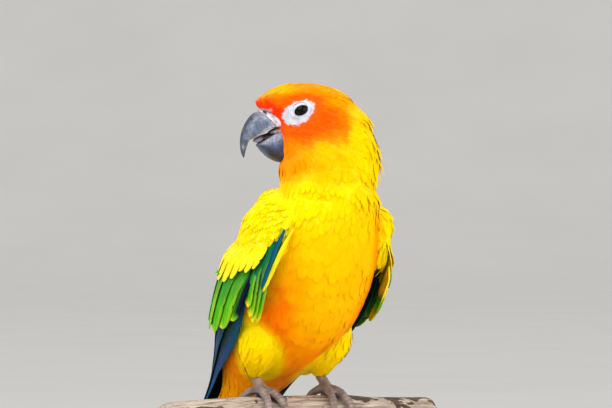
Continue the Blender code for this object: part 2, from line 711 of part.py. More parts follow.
def foot(side, skin, horn):
    """A shank with two toes forward and two back, and the four claws."""
    out = -1 if side == "right" else 1
    lift = GAP + TOE_RADIUS
    pad = round_perch(out * FOOT_X, 0, lift + 0.3)
    ankle = np.array([out * ANKLE[0], ANKLE[1], ANKLE[2]])
    shank_top = ankle + (pad - ankle) * 0.02
    shank = tube("foot_" + side, [shank_top, (ankle + pad) / 2, pad], [SHANK_RADIUS, 2.0, 2.3], 12)
    pieces = []
    for name, start, end, reach in TOES:
        steps = np.linspace(0, 1, 7)
        path = [round_perch(out * (FOOT_X + start + (end - start) * s), reach * s,
                            lift + 0.15 - 0.3 * s) for s in steps]
        swell = [1.0, 0.93, 1.0, 0.85, 0.92, 0.8, 0.66]
        pieces.append(tube("toe", path, [TOE_RADIUS * w for w in swell], 7))
        claw(side, name, out * (FOOT_X + end), reach, horn)
    obj = join("foot_" + side, shank, pieces, skin)
    x, y, z, wide, _ = THIGH[-1]
    cut(obj, cylinder("thigh_end", (out * x, y, z - GAP), (out * x, y, z + 20), wide + 4, 12))


def claw(side, name, x, reach, horn):
    """A curved claw from a toe's end, its point just clear of the branch."""
    way = math.copysign(1, reach)
    start = reach + way * CLAW_GAP
    turn = math.degrees(CLAW_LENGTH / (PERCH_RADIUS + 2.0))
    path, radii = [], []
    for s in np.linspace(0, 1, 5):
        lift = GAP + 0.25 + 1.35 * (1 - s) ** 1.4 + 0.9 * math.sin(math.pi * s) ** 1.2
        path.append(round_perch(x, start + way * turn * s, lift))
        radii.append(max(CLAW_RADIUS * (1 - s) ** 0.75, 0.22))
    tube("claw_" + name + "_" + side, path, radii, 6, horn)


def perch(material):
    """The cut branch: round under the feet, uneven beyond them, with a knot and sockets for rods."""
    rings = []
    stations = np.concatenate([[-0.5, -0.494], np.linspace(-0.47, 0.47, 11), [0.494, 0.5]])
    for share in stations:
        x = share * PERCH_LENGTH
        free = min(max((abs(x) - 24.0) / 12.0, 0.0), 1.0)
        chamfer = 0.9 if abs(share) > 0.497 else 1.0
        ring = []
        for a in (2 * math.pi * k / 24 for k in range(24)):
            rough = 0.5 * math.sin(2 * a + 3.9 + x * 0.04) + 0.35 * math.sin(3 * a + 5.6 - x * 0.05)
            knot = 2.4 * math.exp(-((x - 40) / 7) ** 2 - ((a - 4.2) / 0.5) ** 2)
            radius = (PERCH_RADIUS + free * (rough - 0.3 + knot)) * chamfer
            slant = 0.12 * radius * math.cos(a) if abs(share) > 0.49 else 0.0
            sag = 0.0006 * x * x * free
            ring.append((x + slant, radius * math.sin(a), radius * math.cos(a) - PERCH_RADIUS - sag))
        rings.append(ring)
    branch = loft("perch", rings, material)
    for out in (-1, 1):
        top = -2 * PERCH_RADIUS + ROD_SINK
        x = out * ROD_SPREAD
        cut(branch, cylinder("socket", (x, 0, top - 30), (x, 0, top), ROD_RADIUS + GAP, 20))


def stand(base_material, rod_material):
    """The base, a slab with rounded corners, and the two rods that carry the branch."""
    bpy.ops.mesh.primitive_cube_add(size=1)
    base = bpy.context.object
    base.name = "stand_base"
    bpy.context.collection.objects.unlink(base)
    collection(PARTS).objects.link(base)
    size = Matrix.Diagonal((BASE_WIDTH * MM, BASE_DEPTH * MM, BASE_HEIGHT * MM, 1.0))
    base.data.transform(Matrix.Translation((0.0, 0.0, BASE_HEIGHT * MM / 2)) @ size)
    builder = bmesh.new()
    builder.from_mesh(base.data)
    upright = [e for e in builder.edges if abs(e.verts[0].co.z - e.verts[1].co.z) > 1e-4]
    bmesh.ops.bevel(builder, geom=upright, offset=BASE_CORNER * MM, segments=6, profile=0.5,
                    affect="EDGES")
    rim = [e for e in builder.edges if all(v.co.z > BASE_HEIGHT * MM - 1e-5 for v in e.verts)]
    bmesh.ops.bevel(builder, geom=rim, offset=BASE_EDGE * MM, segments=2, profile=0.5,
                    affect="EDGES")
    builder.to_mesh(base.data)
    builder.free()
    base.data.materials.append(base_material)
    floor = -PERCH_TOP
    for out, side in ((-1, "right"), (1, "left")):
        low, high = floor + BASE_HEIGHT - ROD_SINK, -2 * PERCH_RADIUS + ROD_SINK - GAP
        x = out * ROD_SPREAD
        cut(base, cylinder("socket", (x, 0, low), (x, 0, low + 30), ROD_RADIUS + GAP, 20))
        cylinder("stand_rod_" + side, (x, 0, low + GAP), (x, 0, high), ROD_RADIUS, 20, rod_material)


def main():
    clear_scene()
    yellow = make_material("yellow_plumage", (0.95, 0.62, 0.02), 0.75)
    orange = make_material("orange_plumage", (0.93, 0.36, 0.02), 0.75)
    wing_green = make_material("wing_plumage", (0.55, 0.6, 0.05), 0.7)
    tail_green = make_material("tail_plumage", (0.2, 0.33, 0.12), 0.7)
    horn = make_material("bill_horn", (0.13, 0.15, 0.18), 0.4)
    cere_skin = make_material("cere_skin", (0.6, 0.58, 0.6), 0.6)
    tongue_skin = make_material("tongue_skin", (0.3, 0.2, 0.2), 0.5)
    eye_gloss = make_material("eye_gloss", (0.02, 0.012, 0.01), 0.08)
    foot_skin = make_material("foot_skin", (0.3, 0.27, 0.26), 0.6)
    wood = make_material("weathered_wood", (0.42, 0.34, 0.26), 0.85)
    base_wood = make_material("base_wood", (0.09, 0.055, 0.035), 0.4)
    rod_metal = make_material("rod_metal", (0.6, 0.6, 0.6), 0.3, 1.0)
    torso(orange)
    neck(yellow)
    head(orange, eye_gloss)
    bill(horn, cere_skin, tongue_skin)
    for side in ("left", "right"):
        wing(side, wing_green)
        thigh(side, yellow)
        foot(side, foot_skin, horn)
    tail(tail_green)
    perch(wood)
    stand(base_wood, rod_metal)


main()
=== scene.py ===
"""A perched sun conure at life size: skin, plumage, bill, eyes, feet, branch and display stand.

Lengths are millimetres from REST, the point between the feet on the branch's top. The bird faces
-Y with its head turned to its right, +X is its left and +Z is up.
"""

import math

import bmesh
import bpy
import numpy as np
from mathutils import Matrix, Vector


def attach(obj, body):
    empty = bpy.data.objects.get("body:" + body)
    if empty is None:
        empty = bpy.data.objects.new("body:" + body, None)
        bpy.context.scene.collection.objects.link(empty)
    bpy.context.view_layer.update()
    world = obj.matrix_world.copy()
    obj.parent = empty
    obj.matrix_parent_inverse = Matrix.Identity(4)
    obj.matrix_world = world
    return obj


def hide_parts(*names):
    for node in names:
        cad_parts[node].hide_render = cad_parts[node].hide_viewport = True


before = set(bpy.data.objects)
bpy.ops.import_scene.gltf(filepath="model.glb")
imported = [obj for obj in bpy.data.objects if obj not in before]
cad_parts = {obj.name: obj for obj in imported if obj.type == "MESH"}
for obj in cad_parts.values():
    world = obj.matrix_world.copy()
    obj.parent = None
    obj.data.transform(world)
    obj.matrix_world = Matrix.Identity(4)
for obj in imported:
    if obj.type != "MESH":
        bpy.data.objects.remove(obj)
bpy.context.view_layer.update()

MM = 0.001
REST = np.array([0.0, -14.0, 126.0])

BODY_LEAN, TAIL_ROOT = 37.0, (40.0, -3.0)  # degrees; y and z
HEAD_TURN, NECK_PIVOT = 108.0, (3.9, -21.9)  # degrees; x and y

# Camera: the photograph's side and framing
CAMERA_SIDE, CAMERA_REACH = -30.0, 1800.0
PICTURE_SCALE = 0.4  # millimetres to a pixel at the bird
PICTURE_MIDDLE, PICTURE_WIDTH = (11.0, 191.0), 612  # pixels; right of REST and above it
SENSOR = 36.0  # width of the camera's sensor


def shade(colour):
    """Colours given out of 255, as linear light."""
    value = np.asarray(colour, float) / 255
    return np.where(value <= 0.04045, value / 12.92, ((value + 0.055) / 1.055) ** 2.4)


# Plumage and skin colours
YELLOW, GOLD, AMBER = shade([(250, 210, 0), (250, 182, 0), (248, 146, 0)])
ORANGE, DEEP_ORANGE, RED = shade([(248, 122, 0), (244, 82, 0), (236, 48, 0)])
WING_YELLOW, LEMON = shade([(246, 214, 0), (252, 226, 0)])
GREEN, BLUE_GREEN, LIME = shade([(62, 160, 0), (8, 100, 54), (156, 194, 0)])
BLUE, NIGHT_BLUE, OLIVE = shade([(0, 46, 98), (4, 10, 32), (70, 96, 18)])
EDGE_BLUE, BARE_WHITE, EYE_RIM = shade([(4, 70, 130), (205, 205, 215), (44, 40, 48)])
SLATE, PALE_HORN, DARK_HORN = shade([(112, 125, 148), (208, 212, 224), (24, 28, 42)])


def along_tail(distance, half_width, front, back):
    """A section on the tail's axis, this far past the tail's root."""
    lean = math.radians(BODY_LEAN)
    y = TAIL_ROOT[0] + math.sin(lean) * distance
    z = TAIL_ROOT[1] - math.cos(lean) * distance
    return (0, y, z, BODY_LEAN, 0, half_width, front, back, 2.0)


def on_head(height, forward, half_width, front, back, squareness=2.15):
    """A level section of the head or neck, its centre moved forward from the neck's pivot."""
    turn = math.radians(HEAD_TURN)
    x = NECK_PIVOT[0] - math.sin(turn) * forward
    y = NECK_PIVOT[1] - math.cos(turn) * forward
    return (x, y, height, 0, HEAD_TURN, half_width, front, back, squareness)


# The body's sections, as in the solids: centre, lean, turn, half width, front, back, squareness
SECTIONS = np.array([
    along_tail(90, 11.0, 4.0, 5.0),
    along_tail(60, 12.0, 4.0, 5.5),
    along_tail(30, 12.5, 5.0, 6.0),
    (0, *TAIL_ROOT, 38, 0, 13.0, 7.0, 6.5, 2.0),
    (0, 29.0, 10.5, 40, 0, 17.0, 14.0, 10.0, 2.0),
    (0, 15.0, 25.5, 41, 0, 24.0, 22.0, 14.5, 2.0),
    (0, 0.0, 41.0, 37, 0, 28.0, 26.5, 17.5, 2.0),
    (0, -11.5, 56.0, 26, 0, 28.0, 26.0, 19.0, 2.0),
    (0, -18.5, 69.0, 14, 0, 25.5, 22.5, 20.0, 2.0),
    (2.9, -21.5, 79.0, 3, 0, 20.6, 20.6, 20.6, 2.0),
    on_head(86.0, 0.6, 19.0, 20.4, 20.8, 2.0),
    on_head(92.0, 0.0, 18.0, 21.2, 21.1, 2.05),
    on_head(98.0, 0.0, 17.0, 21.9, 20.9),
    on_head(104.0, 0.5, 16.2, 22.2, 19.2),
    on_head(110.0, 2.0, 15.6, 23.0, 18.4),
    on_head(115.0, 4.0, 14.8, 26.4, 16.9, 1.88),
    on_head(119.0, 6.0, 12.8, 23.0, 15.0, 1.9),
    on_head(122.0, 8.0, 9.7, 16.9, 11.7, 1.95),
    on_head(124.2, 10.5, 4.8, 8.8, 6.5),
])
# Sections where the head, the crown's coat, the neck's and the breast's begin; the face's own place
AT_HEAD, AT_CROWN, AT_NECK, AT_BREAST = 10.1, 11.6, 8.9, 6.4
FACE_MIDDLE, FACE_REACH = (18, 109), 12.5

# The folded wing, as in the solids: section, degrees of its front edge and of its back edge
WING_EDGES = np.array([
    (1.0, 104, 172), (2.0, 92, 171), (3.0, 84, 169), (4.0, 76, 166), (5.0, 65, 163),
    (5.4, 61, 162), (5.8, 58, 160), (6.4, 57, 156), (7.0, 57, 152), (7.8, 54, 149),
    (8.3, 56, 148), (8.6, 66, 149), (8.9, 84, 150), (9.15, 100, 148), (9.35, 116, 140)])
WING_LIFT = 0.6
WING_DEPTH = np.array([
    (6.3, 3.6, 3.6), (6.8, 4.2, 4.4), (7.3, 4.7, 5.2), (7.8, 5.1, 5.9), (8.3, 5.8, 6.1),
    (8.7, 6.6, 4.6), (9.0, 6.4, 2.4), (9.35, 3.0, 1.2)])
SHOULDER_TOP = {"right": 9.35, "left": 8.9}
FLESH_END = np.array([(0.0, 7.3), (0.12, 6.9), (0.3, 6.5), (0.7, 6.3), (1.0, 6.5)])
VANE_STEP, VANE_TOP, VANE_BODY = 1.0, 0.6, 0.26  # rise between vanes, top over guide, thickness
GUIDE_LIFT, UNDERSIDE = 3.0, 0.55  # where a vane's length is measured; how bright its underside is
# Primary coverts, then secondaries and tertials: degrees at the tip and at the fold, sections of
# root and tip, width
UPPER_TIER = [(55.8, 61.5, 7.9, 5.97, 4.6), (58.2, 65.2, 7.8, 5.94, 4.8),
              (61.2, 68.6, 7.6, 6.03, 5.0), (64.8, 71.5, 7.4, 6.2, 5.0),
              (74, 74.5, 7.2, 5.68, 7.0), (81.5, 81.5, 7.1, 5.32, 8.4), (90, 90, 7.1, 5.02, 9.0),
              (100, 100, 7.0, 4.84, 9.4), (111, 111, 7.0, 4.7, 9.6), (123, 123, 7.0, 4.62, 9.6),
              (135, 135, 7.0, 4.6, 9.2), (145, 145, 7.0, 4.7, 8.0)]
TIER_FOLD = 7.0
# Greater coverts over the secondaries' roots: degrees, sections of root and tip, width
GREATER_COVERTS = [(70.5, 7.65, 7.0, 4.2), (75.0, 7.6, 6.84, 4.6), (80.0, 7.5, 6.78, 5.0),
                   (85.0, 7.4, 6.5, 5.2), (91.0, 7.3, 6.28, 5.6), (98.0, 7.2, 6.12, 6.0),
                   (106.0, 7.1, 6.02, 6.4), (115.0, 7.1, 5.95, 6.6), (124.0, 7.1, 5.95, 6.8),
                   (133.0, 7.1, 6.0, 6.8), (142.0, 7.1, 6.1, 6.2)]
COVERT_COUNT, LAST_GREEN = 4, 9  # how many are primary coverts; the last one green to its root
UPPER_LIFT = 5.0
YELLOW_ROOT = {"left": 6.55, "right": 6.15}  # the section past which these turn yellow
# Narrow feathers on the wing's front edge: degrees at its foot and their fall for each section
# above, how far the root lies under the edge's top, section of the tip, width
EDGE_ROWS = [(59.2, 0.0, 0.05, 6.7, 1.55), (57.6, 2.9, 0.0, 6.65, 1.5)]
EDGE_FOOT, EDGE_TOP = 6.7, {"right": 8.1, "left": 7.2}
PRIMARY_TIPS = (1.15, 1.0, 1.25, 1.75, 2.3, 2.9)
PRIMARY_ROOT, PRIMARY_WIDTH, PRIMARY_LIFT = 6.85, 9.6, 0.9
# Where the yellow of the small coverts ends: degrees, section
COVERT_BORDER = np.array([(50, 8.35), (55, 8.2), (58, 7.9), (62, 7.55), (66, 7.35), (69, 7.2),
                          (72, 7.0), (76, 6.8), (80, 6.8), (84, 6.5), (91, 6.25), (100, 6.1),
                          (150, 6.0)])
LEFT_BORDER = 6.6  # the left wing's coverts lie lower over its front

# The tail: six feathers a side, the middle pair longest
TAIL_LENGTH, TAIL_WIDTH, TAIL_SHARES = 128.0, 11.0, (1.0, 0.93, 0.85, 0.76, 0.67, 0.58)

# The eye and its bare ring, in the head's own frame: forward from the pivot, height
EYE_HEIGHT, EYE_FORWARD, EYE_RADIUS, EYE_DEPTH = 113.0, 14.9, 3.5, 2.8
PATCH_MIDDLE, PATCH_HALF, PATCH_TILT = (16.1, 112.3), (6.2, 4.3), -34.0
OPENING_HALF, OPENING_TILT = (2.7, 1.8), 24.0
# The lids, outward from their opening: distance past its edge, height over the eyeball
LID_PROFILE = [(0.05, -0.25), (0.0, 0.02), (0.06, 0.26), (0.3, 0.42), (0.62, 0.38), (0.9, 0.22),
               (1.25, 0.26), (1.65, 0.05), (2.1, -0.5)]
GAPE = (27.0, 110.0)  # the bill's base, from which the feathers fan out
# Places on the head that differ in colour or fullness: forward and its reach, height and its reach
HEAD_PLACES = {"ear": (3.5, 8.0, 109.0, 7.0), "cheek": (16.5, 8.5, 106.0, 6.0),
               "lore": (23.5, 3.2, 111.0, 4.2), "over_eye": (15.0, 8.0, 117.5, 3.4),
               "forehead": (25.5, 3.0, 118.2, 2.0), "occiput": (-7.0, 7.5, 115.0, 6.0),
               "jaw": (20.3, 2.2, 93.6, 2.8), "overhang": (29.0, 2.6, 116.3, 2.2),
               "throat": (21.0, 3.0, 91.3, 2.2)}

# The bill, as in the solids: two profile points (forward, height) and the half width
UPPER_BILL = np.array([
    (25.6, 113.2, 18.7, 107.0, 6.3), (29.4, 113.3, 22.9, 106.8, 6.7),
    (32.3, 111.6, 25.9, 105.9, 6.4), (34.6, 108.7, 28.6, 104.2, 5.8),
    (36.1, 105.2, 31.0, 102.6, 4.7), (36.7, 102.2, 33.5, 101.3, 3.4),
    (36.7, 99.0, 34.4, 98.8, 2.2), (36.3, 96.5, 34.9, 96.5, 1.2),
    (35.5, 94.7, 35.2, 94.7, 0.35)])
CERE_END, NOSTRIL = 1.05, (27.4, 112.5)  # section; forward and height
UPPER_HALF = [(0, 0), (0.05, 0.32), (0.18, 0.66), (0.42, 0.93), (0.7, 1.0), (0.92, 0.94),
              (1.0, 0.78), (0.93, 0.4), (0.9, 0)]
LOWER_BILL = np.array([
    (16.7, 105.5, 17.2, 93.4, 6.0), (21.7, 104.6, 21.2, 92.9, 6.0),
    (25.2, 102.7, 25.2, 94.4, 5.5), (27.8, 101.2, 27.9, 96.6, 4.5),
    (29.4, 100.3, 29.4, 98.4, 3.3), (30.1, 99.9, 30.1, 99.3, 1.8)])
LOWER_HALF = [(0.42, 0), (0.34, 0.42), (0.0, 0.7), (0.0, 0.88), (0.3, 1.0), (0.62, 0.86),
              (0.88, 0.5), (1.0, 0)]

TONGUE = np.array([(18.5, 103.1, 2.6, 1.4), (23.5, 103.1, 2.9, 1.8), (27.6, 102.3, 2.6, 1.6),
                   (31.6, 101.3, 1.9, 1.0)])
# The soft corner of the mouth: forward, height, half width, half height
GAPE_SKIN = np.array([(18.0, 105.4, 5.2, 2.2), (21.5, 105.2, 5.5, 1.7), (23.6, 104.9, 5.3, 1.1),
                      (25.2, 104.6, 4.8, 0.5)])

THIGH = np.array([(13.5, 1.0, 35.0), (15.8, -1.0, 26.5), (16.6, 1.0, 17.5), (15.6, 4.4, 10.4),
                  (15.0, 6.0, 7.4)])

# The skin under the feathers: size of its faces, swelling of the solids before it is made
SKIN_VOXEL, SKIN_SWELL = 0.85, 0.35
TOE_AXIS = 12.5  # how far the branch's axis lies below REST


# Curves, colours and places on the body


def smooth(low, high, value):
    """0 below low, 1 above high, eased between; low may be the larger."""
    x = np.clip((np.asarray(value, float) - low) / (high - low), 0, 1)
    return x * x * (3 - 2 * x)


def hermite(f):
    """Weights of a curve's two ends and of its slopes at them, at share f of the way."""
    return 2 * f**3 - 3 * f**2 + 1, 3 * f**2 - 2 * f**3, f**3 - 2 * f**2 + f, f**3 - f**2


def rows_at(rows, t):
    """Rows of a smooth run through evenly counted rows, one for each value of t."""
    t = np.clip(np.atleast_1d(np.asarray(t, float)), 0, len(rows) - 1)
    padded = np.vstack([2 * rows[0] - rows[1], rows, 2 * rows[-1] - rows[-2]])
    i = np.minimum(t.astype(int), len(rows) - 2)
    before, here, after, beyond = (padded[i + k] for k in range(4))
    a, b, c, d = hermite((t - i)[:, None])
    return a * here + b * after + c * ((after - before) / 2) + d * ((beyond - here) / 2)


def curve(points, x, column=1):
    """A smooth curve through sorted points, level past both ends, as in the solids."""
    xs, ys = points[:, 0], points[:, column]
    x = np.clip(np.asarray(x, float), xs[0], xs[-1])
    slopes = np.gradient(ys, xs)
    i = np.clip(np.searchsorted(xs, x) - 1, 0, len(xs) - 2)
    step = xs[i + 1] - xs[i]
    a, b, c, d = hermite((x - xs[i]) / step)
    return a * ys[i] + b * ys[i + 1] + step * (c * slopes[i] + d * slopes[i + 1])


def unit(vectors):
    """Rows of vectors, each made one long."""
    return vectors / (np.linalg.norm(vectors, axis=1, keepdims=True) + 1e-9)


def circle(count):
    """Angles evenly round a circle."""
    return np.linspace(0, 2 * math.pi, count, endpoint=False)


def section_axes(rows):
    """Unit vectors of sections: ahead, to the right, and up along the body."""
    lean = np.radians(rows[:, 3])
    none = np.zeros(len(rows))
    ahead = np.stack([none, -np.cos(lean), -np.sin(lean)], 1)
    right = np.stack([none - 1, none, none], 1)
    return ahead, right, np.stack([none, -np.sin(lean), np.cos(lean)], 1)


def section_radius(rows, angle):
    """The outline's distance from the section's centre at an angle in radians."""
    turned = angle - np.radians(rows[:, 4])
    forward, aside = np.cos(turned), np.sin(turned)
    reach = np.where(forward > 0, rows[:, 6], rows[:, 7])
    power = rows[:, 8]
    return (np.abs(forward / reach) ** power + np.abs(aside / rows[:, 5]) ** power) ** (-1 / power)


def body_points(t, degrees, lift=0.0, side="right"):
    """Points on the body's surface, raised by lift square to the section's outline."""
    t, degrees, lift = np.broadcast_arrays(np.atleast_1d(t).astype(float), degrees, lift)
    rows = rows_at(SECTIONS, t)
    ahead, right, axis = section_axes(rows)
    angle = np.radians(degrees if side == "right" else -degrees)

    def at(a):
        return (rows[:, :3] + section_radius(rows, a)[:, None]
                * (ahead * np.cos(a)[:, None] + right * np.sin(a)[:, None]))

    point = at(angle)
    outward = np.cross(axis, at(angle + 0.02) - at(angle - 0.02))
    outward *= np.sign(np.sum(outward * (point - rows[:, :3]), 1, keepdims=True))
    return point + outward / np.linalg.norm(outward, axis=1, keepdims=True) * lift[:, None]


def locate(points):
    """Where points lie on the body: section, degrees to the right of the breast, and lift."""
    counts = np.linspace(0, len(SECTIONS) - 1, 361)
    rows = rows_at(SECTIONS, counts)
    axis = section_axes(rows)[2]
    above = points @ axis.T - np.sum(rows[:, :3] * axis, 1)
    k = np.clip(np.argmax(above < 0, 1), 1, 360)
    k = np.where(np.any(above < 0, 1), k, 360)
    index = np.arange(len(points))
    high, low = above[index, k - 1], above[index, k]
    t = counts[k - 1] + np.clip(high / (high - low), 0, 1) * (counts[1] - counts[0])
    rows = rows_at(SECTIONS, t)
    ahead, right, _ = section_axes(rows)
    forward = np.sum((points - rows[:, :3]) * ahead, 1)
    aside = np.sum((points - rows[:, :3]) * right, 1)
    angle = np.arctan2(aside, forward)
    return t, np.degrees(angle), np.hypot(forward, aside) - section_radius(rows, angle)


def head_axes():
    """Unit vectors of the head: ahead and to its left."""
    turn = math.radians(HEAD_TURN)
    return (np.array([-math.sin(turn), -math.cos(turn), 0.0]),
            np.array([math.cos(turn), -math.sin(turn), 0.0]))


def head_points(forward, left, height):
    """Points in the head's own frame, measured from the neck's pivot."""
    ahead, aside = head_axes()
    forward, left, height = np.broadcast_arrays(*(np.asarray(v, float)[..., None]
                                                  for v in (forward, left, height)))
    return np.array([*NECK_PIVOT, 0.0]) + ahead * forward + aside * left + height * [0, 0, 1.0]


def in_head(points):
    """Forward, left and height of points in the head's own frame."""
    ahead, aside = head_axes()
    offset = points - np.array([*NECK_PIVOT, 0.0])
    return offset @ ahead, offset @ aside, points[:, 2]


def wing_share(t, degrees):
    """How far across the wing a place is, from its front edge at 0 to its back edge at 1."""
    front, back = curve(WING_EDGES, t), curve(WING_EDGES, t, 2)
    return (degrees - front) / (back - front)


def flesh(t, degrees, share, side):
    """The height over the body of a share of the wing's own depth, rounded off at both edges."""
    v = np.clip(wing_share(t, degrees), 0, 1)
    depth = curve(WING_DEPTH, t, 1 if side == "right" else 2)
    return WING_LIFT + share * depth * (0.25 + 0.75 * (1 - np.abs(2 * v - 1) ** 3) ** 0.7)


def waves(points, size, seed):
    """A smooth random field from -1 to 1 with features about this size, in millimetres."""
    dice, count = np.random.default_rng(seed), 7
    total = np.zeros(len(points))
    for _ in range(count):
        way = dice.normal(size=3)
        way *= 2 * math.pi / (size * 2.2) / np.linalg.norm(way) * dice.uniform(0.7, 1.5)
        total += np.sin(points @ way + dice.uniform(0, 2 * math.pi))
    return total / count * 1.7


def spot(*terms):
    """1 at a place and less round it; each term is (values, middle, reach)."""
    return np.exp(-sum(((value - middle) / reach) ** 2 for value, middle, reach in terms))


def mix(first, second, share):
    """Two colours or rows of colours mixed, share by share."""
    share = np.asarray(share, float)[..., None]
    return first * (1 - share) + second * share


def layered(colour, *coats):
    """A colour with others mixed over it in turn, each as (colour, share)."""
    for over, share in coats:
        colour = mix(colour, over, share)
    return colour


def mottled(first, second, share):
    """Two colours given out of 255, mixed by a share that is kept from 0 to 1."""
    return mix(shade(first), shade(second), np.clip(share, 0, 1))


# Meshes and materials


def link_new(name, data):
    """A new object in the scene."""
    obj = bpy.data.objects.new(name, data)
    bpy.context.scene.collection.objects.link(obj)
    return obj


def make_object(name, points, faces, material=None):
    """A new smooth object from points in millimetres from REST."""
    mesh = bpy.data.meshes.new(name)
    mesh.from_pydata((np.asarray(points, float) + REST) * MM, [], faces)
    mesh.update()
    if material:
        mesh.materials.append(material)
    mesh.shade_smooth()
    return link_new(name, mesh)


def mesh_from(builder, name):
    """A bmesh as a new mesh; the bmesh is freed."""
    mesh = bpy.data.meshes.new(name)
    builder.to_mesh(mesh)
    builder.free()
    return mesh


def coat_with(obj, finish):
    """Gives a whole object one finish and smooth shading."""
    obj.data.materials.clear()
    obj.data.materials.append(finish)
    obj.data.shade_smooth()


def move_points(mesh, places):
    """Moves a mesh's vertices to places in millimetres from REST."""
    mesh.vertices.foreach_set("co", ((places + REST) * MM).ravel())


def set_colours(mesh, name, colours):
    """Stores one colour a vertex."""
    layer = mesh.attributes.new(name, "FLOAT_COLOR", "POINT")
    layer.data.foreach_set("color", np.column_stack([colours, np.ones(len(colours))]).ravel())


def set_values(mesh, name, values, kind="FLOAT"):
    """Stores one number or vector a vertex."""
    layer = mesh.attributes.new(name, kind, "POINT")
    layer.data.foreach_set("value" if kind == "FLOAT" else "vector", np.ravel(values))


def set_vectors(mesh, name, places):
    """Stores one place a vertex, on a plane or in space."""
    places = np.column_stack([places, np.zeros((len(places), 3 - places.shape[1]))])
    set_values(mesh, name, places, "FLOAT_VECTOR")


def set_bake_map(mesh, places):
    """Stores the unwrap that a bake uses, from one place a vertex."""
    corners = np.zeros(len(mesh.loops), int)
    mesh.loops.foreach_get("vertex_index", corners)
    mesh.uv_layers.new(name="OFBake").data.foreach_set("uv", places[corners].ravel())


def grid_faces(rows, columns, closed=True):
    """Faces of a grid of points, row after row, joined round each row if closed."""
    i, k = np.meshgrid(np.arange(rows - 1), np.arange(columns if closed else columns - 1),
                       indexing="ij")
    here, after = i * columns, (k + 1) % columns
    quads = np.stack([here + k, here + after, here + columns + after, here + columns + k], -1)
    return [tuple(quad) for quad in quads.reshape(-1, 4).tolist()]


def face_outward(obj):
    """Turns the faces of a closed mesh outward."""
    builder = bmesh.new()
    builder.from_mesh(obj.data)
    bmesh.ops.recalc_face_normals(builder, faces=builder.faces)
    builder.to_mesh(obj.data)
    builder.free()


def apply_modifiers(obj):
    """Makes the evaluated mesh the object's own and clears its modifiers."""
    graph = bpy.context.evaluated_depsgraph_get()
    mesh = bpy.data.meshes.new_from_object(obj.evaluated_get(graph))
    obj.modifiers.clear()
    obj.data = mesh


def remesh(obj, voxel, rounds):
    """One even surface in place of the object's own, smoothed this many times."""
    modifier = obj.modifiers.new("remesh", "REMESH")
    modifier.mode, modifier.voxel_size = "VOXEL", voxel * MM
    modifier = obj.modifiers.new("smooth", "SMOOTH")
    modifier.factor, modifier.iterations = 0.5, rounds
    apply_modifiers(obj)


def add_node(tree, kind, inputs=None, **settings):
    """A new node: settings by name, inputs as {input: socket or value}."""
    node = tree.nodes.new(kind)
    for key, value in settings.items():
        setattr(node, key, value)
    for key, source in (inputs or {}).items():
        if isinstance(source, bpy.types.NodeSocket):
            tree.links.new(source, node.inputs[key])
        else:
            node.inputs[key].default_value = source
    return node


class Finish:
    """A material under construction: a Principled shader and the nodes that feed it."""

    def __init__(self, name, roughness, specular, **constants):
        self.material = bpy.data.materials.new(name)
        self.material.use_nodes = True
        self.tree = self.material.node_tree
        self.inputs = self.tree.nodes["Principled BSDF"].inputs
        constants.update(Roughness=roughness, Specular_IOR_Level=specular)
        for key, value in constants.items():
            self.inputs[key.replace("_", " ")].default_value = value

    def node(self, kind, inputs=None, **settings):
        return add_node(self.tree, kind, inputs, **settings)

    def attribute(self, name, output="Color"):
        return self.node("ShaderNodeAttribute", attribute_name=name).outputs[output]

    def stretched(self, source, scale):
        return self.node("ShaderNodeMapping", {"Vector": source, "Scale": scale}).outputs[0]

    def place(self, *scale):
        """Object coordinates in millimetres, stretched by scale."""
        coordinates = self.node("ShaderNodeTexCoord").outputs["Object"]
        return self.stretched(coordinates, [s / MM for s in scale or (1, 1, 1)])

    def noise(self, scale, detail, place=None, roughness=0.55):
        inputs = {"Vector": place or self.place(), "Scale": scale, "Detail": detail,
                  "Roughness": roughness}
        return self.node("ShaderNodeTexNoise", inputs).outputs["Fac"]

    def barbs(self, detail, *scale):
        """Noise stretched across a feather's blade and along it."""
        return self.noise(1.0, detail, self.stretched(self.attribute("blade", "Vector"), scale))

    def cells(self, scale, place=None, feature="F1"):
        inputs = {"Vector": place or self.place(), "Scale": scale}
        return self.node("ShaderNodeTexVoronoi", inputs, feature=feature).outputs["Distance"]

    def ramp(self, value, *stops):
        """A colour ramp; stops are (position, colour out of 255 or grey from 0 to 1)."""
        node = self.node("ShaderNodeValToRGB", {"Fac": value})
        elements = node.color_ramp.elements
        while len(elements) < len(stops):
            elements.new(0.5)
        for element, (position, colour) in zip(elements, stops):
            element.position = position
            element.color = (*([colour] * 3 if np.ndim(colour) == 0 else shade(colour)), 1.0)
        return node.outputs["Color"]

    def blend(self, first, second, share, mode="MIX"):
        """Two colours mixed; the second is a socket or linear light."""
        if not isinstance(second, bpy.types.NodeSocket):
            second = (*second, 1.0)
        return self.node("ShaderNodeMix", {0: share, 6: first, 7: second}, data_type="RGBA",
                         blend_type=mode).outputs[2]

    def darken(self, first, second, share=1.0):
        return self.blend(first, second, share, "MULTIPLY")

    def maths(self, operation, *values):
        return self.node("ShaderNodeMath", dict(enumerate(values)), operation=operation).outputs[0]

    def sum(self, first, second):
        return self.maths("ADD", first, second)

    def times(self, first, second):
        return self.maths("MULTIPLY", first, second)

    def feed(self, name, socket):
        self.tree.links.new(socket, self.inputs[name])

    def colour(self, socket):
        self.feed("Base Color", socket)

    def rough(self, value, low, high):
        node = self.node("ShaderNodeMapRange", {"Value": value, "To Min": low, "To Max": high})
        self.feed("Roughness", node.outputs[0])

    def bump(self, height, strength, distance):
        """Relief; distance is the height of the relief in millimetres."""
        inputs = {"Height": height, "Strength": strength, "Distance": distance * MM}
        self.feed("Normal", self.node("ShaderNodeBump", inputs).outputs[0])


